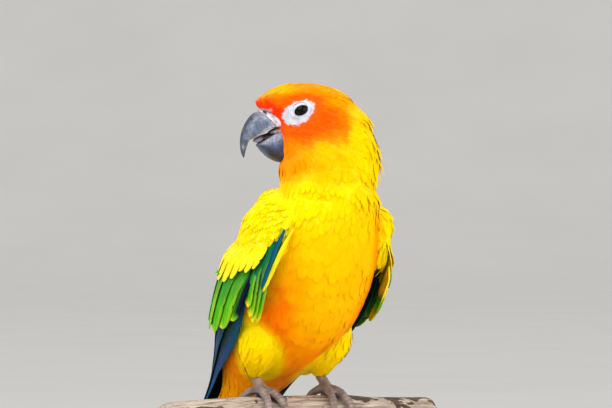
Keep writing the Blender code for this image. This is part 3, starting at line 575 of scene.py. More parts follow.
def plumage_finish(name, shafts):
    """Soft small feathers, finely streaked along the barbs, with painted shade at their roots; some
    have pale shafts, partly painted highlight.
    """
    finish = Finish(name, 0.75, 0.015)
    chance = finish.attribute("chance", "Fac")
    blade = finish.node("ShaderNodeSeparateXYZ", {0: finish.attribute("blade", "Vector")}).outputs
    varied = finish.darken(finish.attribute("tint"), finish.ramp(chance, (0.0, 0.9), (1.0, 1.0)))
    # Painted shade: each feather darker towards its root, where it lies under its neighbours
    length = finish.ramp(blade["Y"], (0.0, 0.94), (0.4, 0.98), (1.0, 1.0))
    fine = finish.ramp(finish.barbs(2.0, 38.0, 3.0, 1.0), (0.3, 0.86), (0.7, 1.0))
    # Pale streak down the middle of some feathers: partly a pale shaft, partly painted highlight
    shaft = finish.ramp(blade["X"], (0.44, 0.0), (0.5, shafts), (0.56, 0.0))
    chosen = finish.times(shaft, finish.ramp(chance, (0.45, 0.0), (0.8, 1.0)))
    pale = finish.blend(varied, shade((255, 244, 196)), chosen)
    finish.colour(finish.darken(pale, finish.darken(length, fine, 0.7)))
    return finish.material


def vane_finish():
    """Sleek flight feathers with slanting barbs each side of a raised shaft."""
    finish = Finish("sleek_feather", 0.5, 0.05)
    blade = finish.node("ShaderNodeSeparateXYZ", {0: finish.attribute("blade", "Vector")}).outputs
    aside = finish.times(finish.maths("ABSOLUTE", blade["X"]), 1.6)
    slant = finish.maths("SUBTRACT", blade["Y"], aside)
    barbs = finish.maths("SINE", finish.times(slant, 9.0))
    wander = finish.noise(1.2, 3.0)
    relief = finish.sum(barbs, finish.times(wander, 1.2))
    lengthwise = finish.barbs(3.0, 2.6, 0.12, 1.0)
    tint = finish.attribute("tint")
    pale = finish.blend(tint, tint, finish.ramp(lengthwise, (0.48, 0.0), (0.66, 0.6)), "ADD")
    # Whitish streaks on the yellow vanes: partly wear, partly painted highlight
    warm = finish.node("ShaderNodeSeparateColor", {0: tint}).outputs[0]
    highlight_and_wear = finish.times(warm, finish.ramp(lengthwise, (0.55, 0.0), (0.7, 0.35)))
    with_highlight_and_wear = finish.blend(pale, shade((250, 244, 190)), highlight_and_wear)
    streaked = finish.darken(with_highlight_and_wear, finish.ramp(relief, (0.0, 0.78), (1.0, 1.0)), 0.6)
    finish.colour(finish.darken(streaked, finish.ramp(lengthwise, (0.36, 0.72), (0.5, 1.0)), 0.8))
    finish.rough(wander, 0.4, 0.58)
    finish.bump(relief, 0.5, 0.05)
    return finish.material


def skin_finish():
    """Skin: bare and finely wrinkled round the eye, coloured like the coat elsewhere."""
    finish = Finish("skin", 0.7, 0.08)
    wrinkles = finish.noise(2.4, 5.0)
    dark = finish.ramp(wrinkles, (0.3, 0.8), (0.7, 1.0))
    finish.colour(finish.darken(finish.attribute("tint"), dark, 0.5))
    finish.bump(finish.sum(wrinkles, finish.cells(1.7)), 0.35, 0.12)
    return finish.material


def horn_finish():
    """Satin slate-grey horn with mottling, speckles and long scratches."""
    finish = Finish("bill_horn", 0.42, 0.4)
    cloud = finish.ramp(finish.noise(0.42, 6.0, roughness=0.7), (0.36, 0.4), (0.6, 1.0))
    scratches = finish.noise(1.1, 6.0, finish.place(1.6, 1.6, 0.35))
    specks = finish.ramp(finish.cells(1.25), (0.14, 0.3), (0.32, 1.0))
    mottling = finish.darken(finish.attribute("tint"), cloud, 0.9)
    with_highlight_and_wear = finish.darken(mottling, finish.ramp(scratches, (0.38, 0.5), (0.58, 1.0)), 0.7)
    finish.colour(finish.darken(with_highlight_and_wear, specks, 0.75))
    finish.rough(scratches, 0.3, 0.55)
    finish.bump(finish.sum(scratches, specks), 0.4, 0.1)
    return finish.material


def tinted_finish(name, roughness, specular, grain, relief):
    """A finish that reads the piece's own colours, broken up by a grain."""
    finish = Finish(name, roughness, specular)
    fine = finish.noise(grain, 5.0)
    dark = finish.ramp(fine, (0.3, 0.78), (0.7, 1.0))
    finish.colour(finish.darken(finish.attribute("tint"), dark, 0.7))
    finish.rough(fine, roughness - 0.08, roughness + 0.1)
    finish.bump(fine, 0.4, relief)
    return finish.material


def branch_finish():
    """Weathered wood with flakes of darker bark and fine cracks along the grain."""
    finish = Finish("weathered_wood", 0.85, 0.2)
    grain = finish.noise(0.9, 8.0, finish.place(0.12, 1, 1))
    blotch = finish.sum(finish.noise(0.075, 5.0), finish.attribute("bark", "Fac"))
    wood = finish.ramp(grain, (0.25, (104, 88, 74)), (0.5, (168, 152, 136)),
                       (0.75, (206, 196, 184)))
    bark = finish.ramp(grain, (0.3, (52, 40, 32)), (0.7, (104, 82, 64)))
    patches = finish.ramp(blotch, (0.98, 0.0), (1.03, 1.0))
    cracks = finish.cells(1.0, finish.place(0.07, 0.55, 0.55), "DISTANCE_TO_EDGE")
    split = finish.ramp(cracks, (0.0, 0.25), (0.035, 1.0))
    finish.colour(finish.darken(finish.blend(wood, bark, patches), split, 0.8))
    finish.bump(finish.sum(finish.sum(grain, split), patches), 0.7, 0.35)
    return finish.material


def base_finish():
    """Dark varnished wood with a fine straight grain."""
    finish = Finish("base_wood", 0.35, 0.5, Coat_Weight=0.25, Coat_Roughness=0.2)
    rings = finish.noise(0.25, 6.0, finish.place(0.15, 1, 1))
    pores = finish.noise(2.2, 3.0, finish.place(0.06, 1, 1))
    wood = finish.ramp(rings, (0.3, (44, 28, 18)), (0.55, (78, 50, 32)), (0.75, (98, 66, 42)))
    finish.colour(finish.darken(wood, finish.ramp(pores, (0.35, 0.6), (0.55, 1.0)), 0.6))
    finish.rough(pores, 0.3, 0.42)
    finish.bump(pores, 0.25, 0.08)
    return finish.material


def rod_finish():
    """Brushed steel, scratched finely along the rod."""
    finish = Finish("rod_metal", 0.3, 0.5, Metallic=1.0)
    brushed = finish.noise(3.0, 4.0, finish.place(1, 1, 0.03))
    finish.colour(finish.ramp(brushed, (0.3, (128, 128, 130)), (0.7, (180, 180, 182))))
    finish.rough(brushed, 0.24, 0.4)
    finish.bump(brushed, 0.2, 0.02)
    return finish.material


def eye_finish():
    """The wet eye: black pupil, dark grey-brown iris and a darker rim."""
    finish = Finish("eye_gloss", 0.08, 0.03, Coat_Weight=0.14, Coat_Roughness=0.02)
    fibres = finish.times(finish.maths("SUBTRACT", finish.noise(5.0, 3.0), 0.5), 0.08)
    uneven = finish.sum(finish.attribute("gaze", "Fac"), fibres)
    finish.colour(finish.ramp(uneven, (0.36, (1, 1, 1)), (0.42, (14, 8, 6)), (0.6, (24, 13, 9)),
                              (0.68, (5, 4, 4)), (1.0, (8, 6, 6))))
    return finish.material


def floor_finish():
    """The pale, nearly even floor and backdrop."""
    finish = Finish("pale_floor", 0.8, 0.2)
    soft = finish.noise(0.004, 2.0)
    finish.colour(finish.ramp(soft, (0.0, (222, 221, 218)), (1.0, (230, 229, 226))))
    return finish.material


# Skin: one surface under all the plumage, with the coat's colour, lie and size at every point


def merged_copy(name, swell=SKIN_SWELL):
    """A welded copy of a solid's mesh, swollen a little."""
    builder = bmesh.new()
    builder.from_mesh(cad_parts[name].data)
    bmesh.ops.remove_doubles(builder, verts=builder.verts, dist=1e-6)
    builder.normal_update()
    for vertex in builder.verts:
        vertex.co = vertex.co + vertex.normal * swell * MM
    return builder


def wing_bed(side):
    """The wing's fleshy bed under its small coverts, as points and faces."""
    rings = []
    across = np.linspace(0, 1, 24)
    for down in np.linspace(0.02, 1, 40):
        t = SHOULDER_TOP[side] * (1 - down) + curve(FLESH_END, across) * down
        front, back = curve(WING_EDGES, t), curve(WING_EDGES, t, 2)
        place = front + (back - front) * (0.02 + 0.96 * across)
        thick = flesh(t, place, 0.86, side)
        outer = body_points(t, place, thick, side)
        inner = body_points(t, place, -2.0, side)
        rings.append(np.vstack([outer, inner[::-1]]))
    count = len(across) * 2
    faces = grid_faces(len(rings), count)
    faces.append(tuple(range(count))[::-1])
    faces.append(tuple(range((len(rings) - 1) * count, len(rings) * count)))
    return np.vstack(rings), faces


def skin_mesh():
    """Torso, neck, head, thighs and the wings' beds fused into one smooth skin."""
    joined = bmesh.new()
    for name in ("torso", "neck", "head", "thigh_left", "thigh_right"):
        scratch = mesh_from(merged_copy(name), "scratch")
        joined.from_mesh(scratch)
        bpy.data.meshes.remove(scratch)
    obj = link_new("skin", mesh_from(joined, "skin"))
    beds = [make_object("bed_" + side, *wing_bed(side)) for side in ("left", "right")]
    for bed in beds:
        face_outward(bed)
    with bpy.context.temp_override(active_object=obj, selected_editable_objects=[obj, *beds]):
        bpy.ops.object.join()
    remesh(obj, SKIN_VOXEL, 8)
    keep_largest(obj)
    return obj


def keep_largest(obj):
    """Drops every loose piece but the largest."""
    builder = bmesh.new()
    builder.from_mesh(obj.data)
    unseen, surfaces = set(builder.verts), []
    while unseen:
        stack, found = [unseen.pop()], []
        while stack:
            vertex = stack.pop()
            found.append(vertex)
            for edge in vertex.link_edges:
                other = edge.other_vert(vertex)
                if other in unseen:
                    unseen.remove(other)
                    stack.append(other)
        surfaces.append(found)
    surfaces.sort(key=len)
    for scrap in surfaces[:-1]:
        bmesh.ops.delete(builder, geom=scrap, context="VERTS")
    builder.to_mesh(obj.data)
    builder.free()


def vertex_points(mesh):
    """(places in millimetres from REST, normals) of a mesh's vertices."""
    places, normals = np.zeros(len(mesh.vertices) * 3), np.zeros(len(mesh.vertices) * 3)
    mesh.vertices.foreach_get("co", places)
    mesh.vertices.foreach_get("normal", normals)
    return places.reshape(-1, 3) / MM - REST, normals.reshape(-1, 3)


def eye_patch(forward, height):
    """1 at the edge of the bare patch round the eye, less inside and more outside."""
    tilt = math.radians(PATCH_TILT)
    f, h = forward - PATCH_MIDDLE[0], height - PATCH_MIDDLE[1]
    along, over = f * math.cos(tilt) + h * math.sin(tilt), h * math.cos(tilt) - f * math.sin(tilt)
    rear = smooth(0.0, -3.0, along)
    along, over = along / (PATCH_HALF[0] + 0.9 * rear), over / PATCH_HALF[1]
    power = 2.0 - 0.35 * rear
    turn = np.arctan2(over, along)
    ragged = 0.035 * np.sin(9 * turn + 1) + 0.03 * np.sin(17 * turn) + 0.02 * np.sin(29 * turn)
    return (np.abs(along) ** power + np.abs(over) ** power) ** (1 / power) + ragged


def cere_edge(forward, height, points):
    """1 on the bare speckled skin that joins the cere to the face, 0 off it."""
    uneven = 0.5 * waves(points, 1.8, 12)
    return (smooth(25.4, 26.6, forward + uneven) * smooth(114.2, 113.0, height + uneven)
            * smooth(104.0, 106.0, height))


class Survey:
    """What lies where on the skin: places on body, head, wings and thighs for every vertex."""

    def __init__(self, points, normals):
        self.points, self.normals = points, normals
        self.t, self.degrees, self.lift = locate(points)
        self.forward, self.left, self.height = in_head(points)
        self.aside = np.abs(self.degrees)
        self.share = wing_share(self.t, self.aside)
        on_wing = (self.t > 6.0) & (self.t < 9.5) & (self.share > -0.02) & (self.share < 1.02)
        self.wing = on_wing & (self.lift > 0.9)
        gap = np.full(len(points), 1e9)
        for side in (-1, 1):
            for x, y, z in rows_at(THIGH, np.linspace(0, len(THIGH) - 1, 20)):
                gap = np.minimum(gap, np.linalg.norm(points - [side * x, y, z], axis=1))
        self.thigh = (~self.wing) & (self.lift > 0.6) & (gap < 14) & (points[:, 2] < 38)
        self.near_thigh = smooth(13.5, 9.5, gap)
        self.head = self.t > AT_HEAD
        patch = eye_patch(self.forward, self.height)
        self.patch = np.where(self.head & (np.abs(self.left) > 7), patch, 9.0)

    def near(self, name):
        """1 at a named place on the head and less round it."""
        forward, reach, height, rise = HEAD_PLACES[name]
        return spot((self.forward, forward, reach), (self.height, height, rise))


def body_colour(place, broad, fine):
    """The plumage's colour over the body, thighs and tail coverts."""
    t, degrees = place.t, place.degrees
    front = smooth(112, 80, place.aside)
    golden = np.clip(smooth(9.4, 6.7, t + 0.3 * broad) * front + 0.16 * broad, 0, 0.9)
    flank = (spot((degrees, 46, 20.0), (t, 6.0, 0.95))
             + 0.9 * spot((degrees, -52, 20.0), (t, 6.0, 0.95)))
    # Painted shade: amber in the seam between the breast and the left wing
    wing_seam_shade = spot((degrees, -52, 7.0)) * smooth(5.8, 6.8, t) * smooth(8.9, 8.2, t)
    belly = smooth(6.5, 5.1, t + 0.3 * broad) * front
    # Painted shade: the thighs turn more golden towards their bottom, where shade falls
    low = 0.08 + 0.1 * fine + 0.4 * smooth(26, 12, place.points[:, 2])
    return layered(YELLOW, (GOLD, golden), (AMBER, 0.75 * wing_seam_shade),
                   (ORANGE, np.clip(0.88 * belly + 0.95 * flank + 0.12 * fine, 0, 0.95)),
                   (DEEP_ORANGE, np.clip(0.5 * flank * (0.7 + 0.5 * fine), 0, 0.5)),
                   (GOLD, smooth(4.4, 3.4, t) * 0.4), (LIME, smooth(3.0, 2.5, t) * 0.5),
                   (mix(LEMON, GOLD, low), place.near_thigh * 0.97))


def coat_colour(place):
    """The plumage's colour over the head and body."""
    broad, fine, mottle = (waves(place.points, size, seed)
                           for size, seed in ((8.0, 3), (3.0, 4), (1.8, 11)))
    forward, height = place.forward, place.height
    top = spot((forward, 9.0, 9.0)) * smooth(110, 118, height)
    back = spot((forward, -6.0, 9.0)) * smooth(104, 112, height)
    brow = smooth(23.0, 28.5, forward) * smooth(119.5, 115.5, height) * smooth(104, 108, height)
    brow = brow * (1 + 0.3 * mottle)
    lore, ring = place.near("lore"), spot((place.patch, 1.0, 0.55))
    warm = (0.75 * place.near("ear") + place.near("cheek") + 0.75 * ring
            + 0.7 * place.near("over_eye") + lore + brow + 0.4 * place.near("forehead"))
    warm = np.clip(warm + 0.1 * fine + 0.08 * mottle, 0, 1)
    fiery = np.clip(lore + brow + 0.35 * ring * smooth(6, 16, forward), 0, 1)
    head = layered(YELLOW, (GOLD, smooth(-14, 2, forward + 2.5 * broad)),
                   # Amber and orange over the front of the head reach down to the throat: the
                   # face's own colour, deepened at the throat as painted shade under the bill
                   (AMBER, smooth(3, 18, forward) * smooth(80, 91, height) * 0.9),
                   (ORANGE, smooth(12, 20, forward) * smooth(82, 92, height) * 0.36),
                   (ORANGE, np.clip(0.8 * top + 0.4 * back + 0.1 * fine, 0, 0.85)),
                   (mix(GOLD, AMBER, 0.45),
                    smooth(117, 121, height) * smooth(14, 19, forward) * 0.85),
                   (ORANGE, smooth(0.05, 0.35, warm)),
                   (DEEP_ORANGE, smooth(0.3, 0.8, warm) * 0.95),
                   (RED, smooth(0.45, 1.05, fiery + 0.12 * fine + 0.12 * mottle)))
    return mix(body_colour(place, broad, fine), head, smooth(80, 90, height + 1.5 * broad))


def wing_coat_colour(place):
    """The small coverts' colour: yellow down to their border, then green and blue."""
    on_left = place.degrees < 0
    border = curve(COVERT_BORDER, place.aside)
    border = np.where(on_left, np.minimum(border, LEFT_BORDER), border)
    below = smooth(border + 0.34, border + 0.3, place.t)
    below = below * smooth(56.5, 59.0, place.aside) * smooth(148, 142, place.aside)
    golden = np.clip(0.06 + 0.2 * waves(place.points, 6, 8), 0, 1)
    yellow = layered(WING_YELLOW, (LEMON, 0.9 * on_left), (GOLD, golden))
    return mix(yellow, mix(GREEN, BLUE_GREEN, smooth(72, 60, place.aside)), below)


def lie_of_coat(place):
    """The way each feather points along the skin."""
    down = unit(body_points(place.t - 0.06, place.degrees, place.lift)
                - body_points(place.t + 0.06, place.degrees, place.lift))
    from_bill = unit(place.points - head_points(GAPE[0], 0.0, GAPE[1]))
    share = smooth(9.6, 12.6, place.t)[:, None] * smooth(-16, -6, place.forward)[:, None]
    way = down * (1 - share) + from_bill * share
    leg = np.where(place.points[:, :1] > 0, 1.0, -1.0) * [[0.1, 0.0, 0.0]] + [[0.0, 0.25, -1.0]]
    way = np.where(place.thigh[:, None], leg, way)
    return unit(way - place.normals * np.sum(way * place.normals, 1, keepdims=True))


def root_places(place):
    """The skin's own unwrap: body, each wing and each thigh on a ground of their own."""
    u = (place.degrees + 180) / 360 * 0.58 + 0.01
    v = place.t / 18 * 0.96 + 0.02
    right = place.degrees > 0
    wing_u = np.where(right, 0.62, 0.81) + np.clip(place.share, 0, 1) * 0.17
    wing_v = 0.5 + np.clip((place.t - 6) / 3.5, 0, 1) * 0.46
    leg_angle = np.arctan2(place.points[:, 1] - 1, np.abs(place.points[:, 0]) - 16)
    leg_u = np.where(right, 0.62, 0.81) + (leg_angle / (2 * math.pi) + 0.5) * 0.17
    leg_v = 0.02 + np.clip(place.points[:, 2] / 38, 0, 1) * 0.4
    u = np.where(place.wing, wing_u, np.where(place.thigh, leg_u, u))
    v = np.where(place.wing, wing_v, np.where(place.thigh, leg_v, v))
    return np.column_stack([u, v])


def coat_masks(place, bald):
    """Where each coat grows, from 0 to 1, by the name of its mask."""
    t, body = place.t, ~place.wing & ~place.thigh
    feathered = np.where(bald, 0.0, smooth(0.99, 1.06, place.patch))
    uneven = 0.35 * waves(place.points, 7, 10)
    from_face = np.hypot(place.forward - FACE_MIDDLE[0], place.height - FACE_MIDDLE[1])
    face = body & place.head & (from_face < FACE_REACH)
    crown = body & (t > AT_CROWN) & ~face
    neck = body & (t + uneven > AT_NECK) & ~face & ~crown
    rear = place.forward + 1.5 * waves(place.points, 4, 9) < -6
    masks = {"on_face": face, "on_crown": crown, "on_nape": neck & rear, "on_neck": neck & ~rear,
             "on_breast": body & (t + uneven > AT_BREAST) & ~face & ~crown & ~neck,
             "on_belly": body & (t + uneven <= AT_BREAST), "on_thighs": place.thigh,
             "on_wing_left": place.wing & (place.degrees < 0),
             "on_wing_right": place.wing & (place.degrees > 0)}
    return {name: mask * feathered for name, mask in masks.items()}


def dress_skin(obj):
    """Draws the skin in by the coat's depth and writes what the feathers need."""
    points, normals = vertex_points(obj.data)
    place, tall = Survey(points, normals), points[:, 2]
    t, aside, forward, height = place.t, place.aside, place.forward, place.height
    right, jaw = place.degrees > 0, place.near("jaw")
    bare = smooth(1.08, 0.98, place.patch)
    nape = smooth(-9, -15, forward) * smooth(79, 84, tall) * smooth(112, 106, tall)
    top = spot((t, np.where(right, 9.25, 8.95), 0.4)) * smooth(55, 80, aside)
    outer = spot((t, 8.0, 0.5)) * smooth(60, 80, aside) * place.wing
    depth = np.where(place.wing, 0.1, np.where(place.head, 0.5, 0.7) + 1.5 * nape)
    depth = (SKIN_SWELL + depth - 0.2 * bare + 1.9 * place.near("occiput") + 1.1 * jaw
             - 0.9 * place.near("overhang") - 0.7 * place.near("throat"))
    depth = (depth + np.where(right, -1.2, 1.3) * top * smooth(150, 125, aside)
             - np.where(right, 0.1, 0.6) * outer)
    move_points(obj.data, points - normals * depth[:, None])
    obj.data.update()
    colours = np.where(place.wing[:, None], wing_coat_colour(place), coat_colour(place))
    white = BARE_WHITE * (0.9 + 0.1 * waves(points, 1.6, 5))[:, None]
    pinkish = mottled((214, 204, 210), (196, 118, 108), 0.35 + 0.6 * waves(points, 1.3, 13))
    by_cere = cere_edge(forward, height, points) * (t > 13)
    set_colours(obj.data, "tint", layered(colours, (pinkish, by_cere), (white, bare)))
    set_colours(obj.data, "coat_tint", colours)
    roots = root_places(place)
    set_vectors(obj.data, "lie", lie_of_coat(place))
    set_vectors(obj.data, "root_uv", roots)
    set_bake_map(obj.data, roots)
    inside_bill = (forward > 17) & (np.abs(place.left) < 5.0) & (height < 114.6) & (height > 94.0)
    for name, mask in coat_masks(place, inside_bill | (jaw > 0.55) | (by_cere > 0.4)).items():
        set_values(obj.data, name, mask)
    from_bill = np.linalg.norm(points - head_points(GAPE[0], 0.0, GAPE[1]), axis=1)
    growth = (1.0 + 0.1 * waves(points, 12, 6)) * (0.5 + 0.5 * smooth(6, 14, from_bill))
    hollow = smooth(64, 74, tall) * smooth(100, 90, tall)
    growth *= (0.65 + 0.35 * smooth(1.1, 1.7, place.patch)) * (1 - 0.5 * top) * (1 - 0.3 * hollow)
    set_values(obj.data, "growth", growth)
    set_values(obj.data, "ruffled", np.maximum(1.8 * (nape * smooth(-13, -17, forward)),
                                               0.5 * hollow))


# Feathers


def feather_shape(name, barbs, roundness, camber, arch, curl, split):
    """A soft feather of unit length and width, its barbs split at their ends."""
    points, faces = [], []

    def add(x, y):
        z = arch * math.sin(math.pi * min(y, 1)) - camber * (2 * x) ** 2 - curl * y * y
        points.append((x, y, z))
        return len(points) - 1

    for way in (-1, 1):
        for k in range(barbs):
            start, end = 0.02 + 0.80 * k / barbs, 0.02 + 0.80 * (k + 1) / barbs
            reach = start + 0.2 + 0.05 * math.sin(7.0 * k + way)
            frayed = 1.0 - split * (0.5 + 0.5 * math.sin(5.0 * k + 2 * way))
            half = 0.5 * math.sin(math.pi * min(reach, 0.97) ** roundness) ** 0.62
            far = way * (half * frayed)
            ring = (add(0.0, start), add(far * 0.84, start + 0.10), add(far * 0.82, end + 0.15),
                    add(0.0, end + 0.03))
            point = (ring[1], add(far, reach + 0.04), ring[2])
            faces += [ring, point] if way > 0 else [ring[::-1], point[::-1]]
    faces.append((add(-0.1, 0.8), add(0.1, 0.8), add(0.0, 1.0)))
    mesh = bpy.data.meshes.new(name)
    mesh.from_pydata(points, [], faces)
    layer = mesh.uv_layers.new(name="blade")
    for loop in mesh.loops:
        x, y, _ = points[loop.vertex_index]
        layer.data[loop.index].uv = (x + 0.5, y)
    mesh.shade_smooth()
    return bpy.data.objects.new(name, mesh)


def feather_set(name, barbs, *variants):
    """A collection of feather shapes that a coat picks from."""
    group = bpy.data.collections.new(name)
    for index, variant in enumerate(variants):
        group.objects.link(feather_shape(name + "_" + str(index), barbs, *variant))
    return group


COAT_INPUTS = [("Skin", "Geometry"), ("Mask", "String"), ("Feathers", "Collection"),
               ("Spacing", "Float"), ("Length", "Float"), ("Width", "Float"), ("Lift", "Float"),
               ("Ruffle", "Float"), ("Separate", "Float"), ("Seed", "Int"),
               ("Finish", "Material")]


def coat_tree():
    """Geometry Nodes that grow feathers on the skin where a mask allows it."""
    tree = bpy.data.node_groups.new("coat_of_feathers", "GeometryNodeTree")
    for name, kind in COAT_INPUTS:
        tree.interface.new_socket(name, in_out="INPUT", socket_type="NodeSocket" + kind)
    tree.interface.new_socket("Coat", in_out="OUTPUT", socket_type="NodeSocketGeometry")

    def node(kind, inputs=None, **settings):
        return add_node(tree, kind, inputs, **settings)

    def maths(operation, first, second, kind="Math"):
        return node("ShaderNode" + kind, {0: first, 1: second}, operation=operation).outputs[0]

    def chance(low, high, seed):
        made = node("FunctionNodeRandomValue", {2: low, 3: high, 8: seed}, data_type="FLOAT")
        return made.outputs[1]

    def named(name, kind="FLOAT"):
        made = node("GeometryNodeInputNamedAttribute", {"Name": name}, data_type=kind)
        return made.outputs[0]

    def stored(geometry, name, value, kind, domain):
        inputs = {"Geometry": geometry, "Name": name, "Value": value}
        return node("GeometryNodeStoreNamedAttribute", inputs, data_type=kind,
                    domain=domain).outputs[0]

    given = node("NodeGroupInput").outputs
    density = maths("DIVIDE", 1.6, maths("MULTIPLY", given["Spacing"], given["Spacing"]))
    scatter = node("GeometryNodeDistributePointsOnFaces",
                   {"Mesh": given["Skin"], "Distance Min": given["Spacing"],
                    "Density Max": density, "Density Factor": named(given["Mask"]),
                    "Seed": given["Seed"]}, distribute_method="POISSON").outputs
    stand_up = node("FunctionNodeAxesToRotation",
                    {"Primary Axis": scatter["Normal"],
                     "Secondary Axis": named("lie", "FLOAT_VECTOR")},
                    primary_axis="Z", secondary_axis="Y").outputs[0]
    raised = maths("MULTIPLY", named("ruffled"), chance(0.02, 0.17, 7))
    uneven = maths("MULTIPLY", given["Ruffle"], chance(-0.3, 0.4, 1))
    pitch = maths("ADD", maths("ADD", given["Lift"], uneven), raised)
    roll, yaw = (maths("MULTIPLY", given["Ruffle"], chance(-1.0, 1.0, seed)) for seed in (2, 3))
    turned = node("ShaderNodeCombineXYZ", {0: pitch, 1: roll, 2: yaw}).outputs[0]
    turned = node("FunctionNodeEulerToRotation", {0: turned}).outputs[0]
    rotation = node("FunctionNodeRotateRotation", {"Rotation": stand_up, "Rotate By": turned},
                    rotation_space="LOCAL").outputs[0]
    growth = maths("MULTIPLY", named("growth"), chance(0.86, 1.14, 4))
    length, width = (maths("MULTIPLY", given[name], growth) for name in ("Length", "Width"))
    size = node("ShaderNodeCombineXYZ", {0: width, 1: length, 2: length}).outputs[0]
    kinds = node("GeometryNodeCollectionInfo",
                 {"Collection": given["Feathers"], "Separate Children": True,
                  "Reset Children": True}).outputs[0]
    pick = node("FunctionNodeRandomValue", {4: 0, 5: 7, 8: 5}, data_type="INT").outputs[2]
    placed = node("GeometryNodeInstanceOnPoints",
                  {"Points": scatter["Points"], "Instance": kinds, "Pick Instance": True,
                   "Instance Index": pick, "Rotation": rotation, "Scale": size}).outputs[0]
    chanced = stored(placed, "chance", chance(0.0, 1.0, 6), "FLOAT", "INSTANCE")
    real = node("GeometryNodeRealizeInstances", {"Geometry": chanced}).outputs[0]
    # Each feather's colour: the skin's under every point of it, or the one at its root
    nearest = node("GeometryNodeSampleNearestSurface", {"Mesh": given["Skin"]},
                   data_type="FLOAT_COLOR")
    value, sampled = (next(s for s in sockets if s.name == "Value" and s.enabled)
                      for sockets in (nearest.inputs, nearest.outputs))
    own = named("coat_tint", "FLOAT_COLOR")
    tree.links.new(own, value)
    merged = node("ShaderNodeMix", {0: given["Separate"], 6: sampled, 7: own}, data_type="RGBA")
    real = stored(real, "tint", merged.outputs[2], "FLOAT_COLOR", "POINT")
    local = maths("MULTIPLY", named("blade", "FLOAT_VECTOR"), (0.003,) * 3, "VectorMath")
    patch = maths("ADD", named("root_uv", "FLOAT_VECTOR"), local, "VectorMath")
    mapped = stored(real, "OFBake", patch, "FLOAT2", "CORNER")
    finished = node("GeometryNodeSetMaterial", {"Geometry": mapped, "Material": given["Finish"]})
    tree.links.new(finished.outputs[0], node("NodeGroupOutput").inputs[0])
    return tree


def grow_coat(name, skin, tree, **values):
    """One area's feathers as a plain mesh; values are the tree's inputs by name."""
    coat = link_new(name, skin.data)
    modifier = coat.modifiers.new("coat", "NODES")
    modifier.node_group = tree
    for item in tree.interface.items_tree:
        if item.in_out == "INPUT" and item.name in values:
            modifier[item.identifier] = values[item.name]
    apply_modifiers(coat)
    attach(coat, "root")


# Kinds of small feather: barbs a side, then shapes as (roundness, camber, arch, curl, split)
FEATHERS = {
    "soft": (6, (0.9, 0.02, 0.01, 0.08, 0.1), (0.8, 0.03, 0.01, 0.09, 0.18),
             (1.0, 0.02, 0.0, 0.07, 0.12)),
    "short": (4, (0.85, 0.03, 0.01, 0.11, 0.2), (0.75, 0.04, 0.0, 0.12, 0.28)),
    "cupped": (5, (0.8, 0.02, 0.0, 0.07, 0.08), (0.72, 0.025, 0.0, 0.08, 0.14),
               (0.9, 0.02, 0.01, 0.065, 0.06)),
    "pointed": (5, (0.55, 0.03, 0.01, 0.05, 0.1), (0.5, 0.04, 0.01, 0.04, 0.14),
                (0.6, 0.03, 0.02, 0.06, 0.08)),
    "flat": (5, (0.8, 0.02, 0.0, 0.11, 0.05), (0.74, 0.022, 0.0, 0.12, 0.08),
             (0.88, 0.02, 0.005, 0.1, 0.04))}
# Name, kind of feather, spacing, length, width, lift and ruffle in radians, and how far each
# feather keeps a colour of its own
COATS = [("face", "short", 1.1, 3.4, 1.6, 0.07, 0.09, 0.15),
         ("crown", "short", 1.5, 4.8, 2.4, 0.05, 0.06, 0.15),
         ("nape", "pointed", 2.2, 8.0, 5.4, 0.055, 0.04, 0.2),
         ("neck", "soft", 1.6, 6.0, 3.4, 0.045, 0.03, 0.1),
         ("breast", "soft", 2.1, 7.8, 4.6, 0.046, 0.025, 0.15),
         ("belly", "soft", 2.3, 8.6, 5.0, 0.046, 0.025, 0.15),
         ("thighs", "cupped", 1.6, 5.2, 3.2, 0.055, 0.04, 0.15),
         ("wing_coverts_left", "flat", 1.6, 6.4, 4.4, 0.028, 0.01, 0.85),
         ("wing_coverts_right", "flat", 1.6, 6.4, 4.4, 0.028, 0.01, 0.85)]


def plumage(skin):
    """Every area's coat of small feathers."""
    finishes = {False: plumage_finish("plumage", 0.0), True: plumage_finish("covert_feather", 0.16)}
    tree = coat_tree()
    kinds = {name: feather_set(name, *shapes) for name, shapes in FEATHERS.items()}
    for seed, (name, kind, spacing, length, width, lift, ruffle, separate) in enumerate(COATS):
        grow_coat("plumage_" + name, skin, tree, Mask="on_" + name.replace("coverts_", ""),
                  Feathers=kinds[kind], Spacing=spacing * MM, Length=length * MM,
                  Width=width * MM, Lift=lift, Ruffle=ruffle, Separate=separate, Seed=seed,
                  Finish=finishes["wing" in name])


# Flight feathers


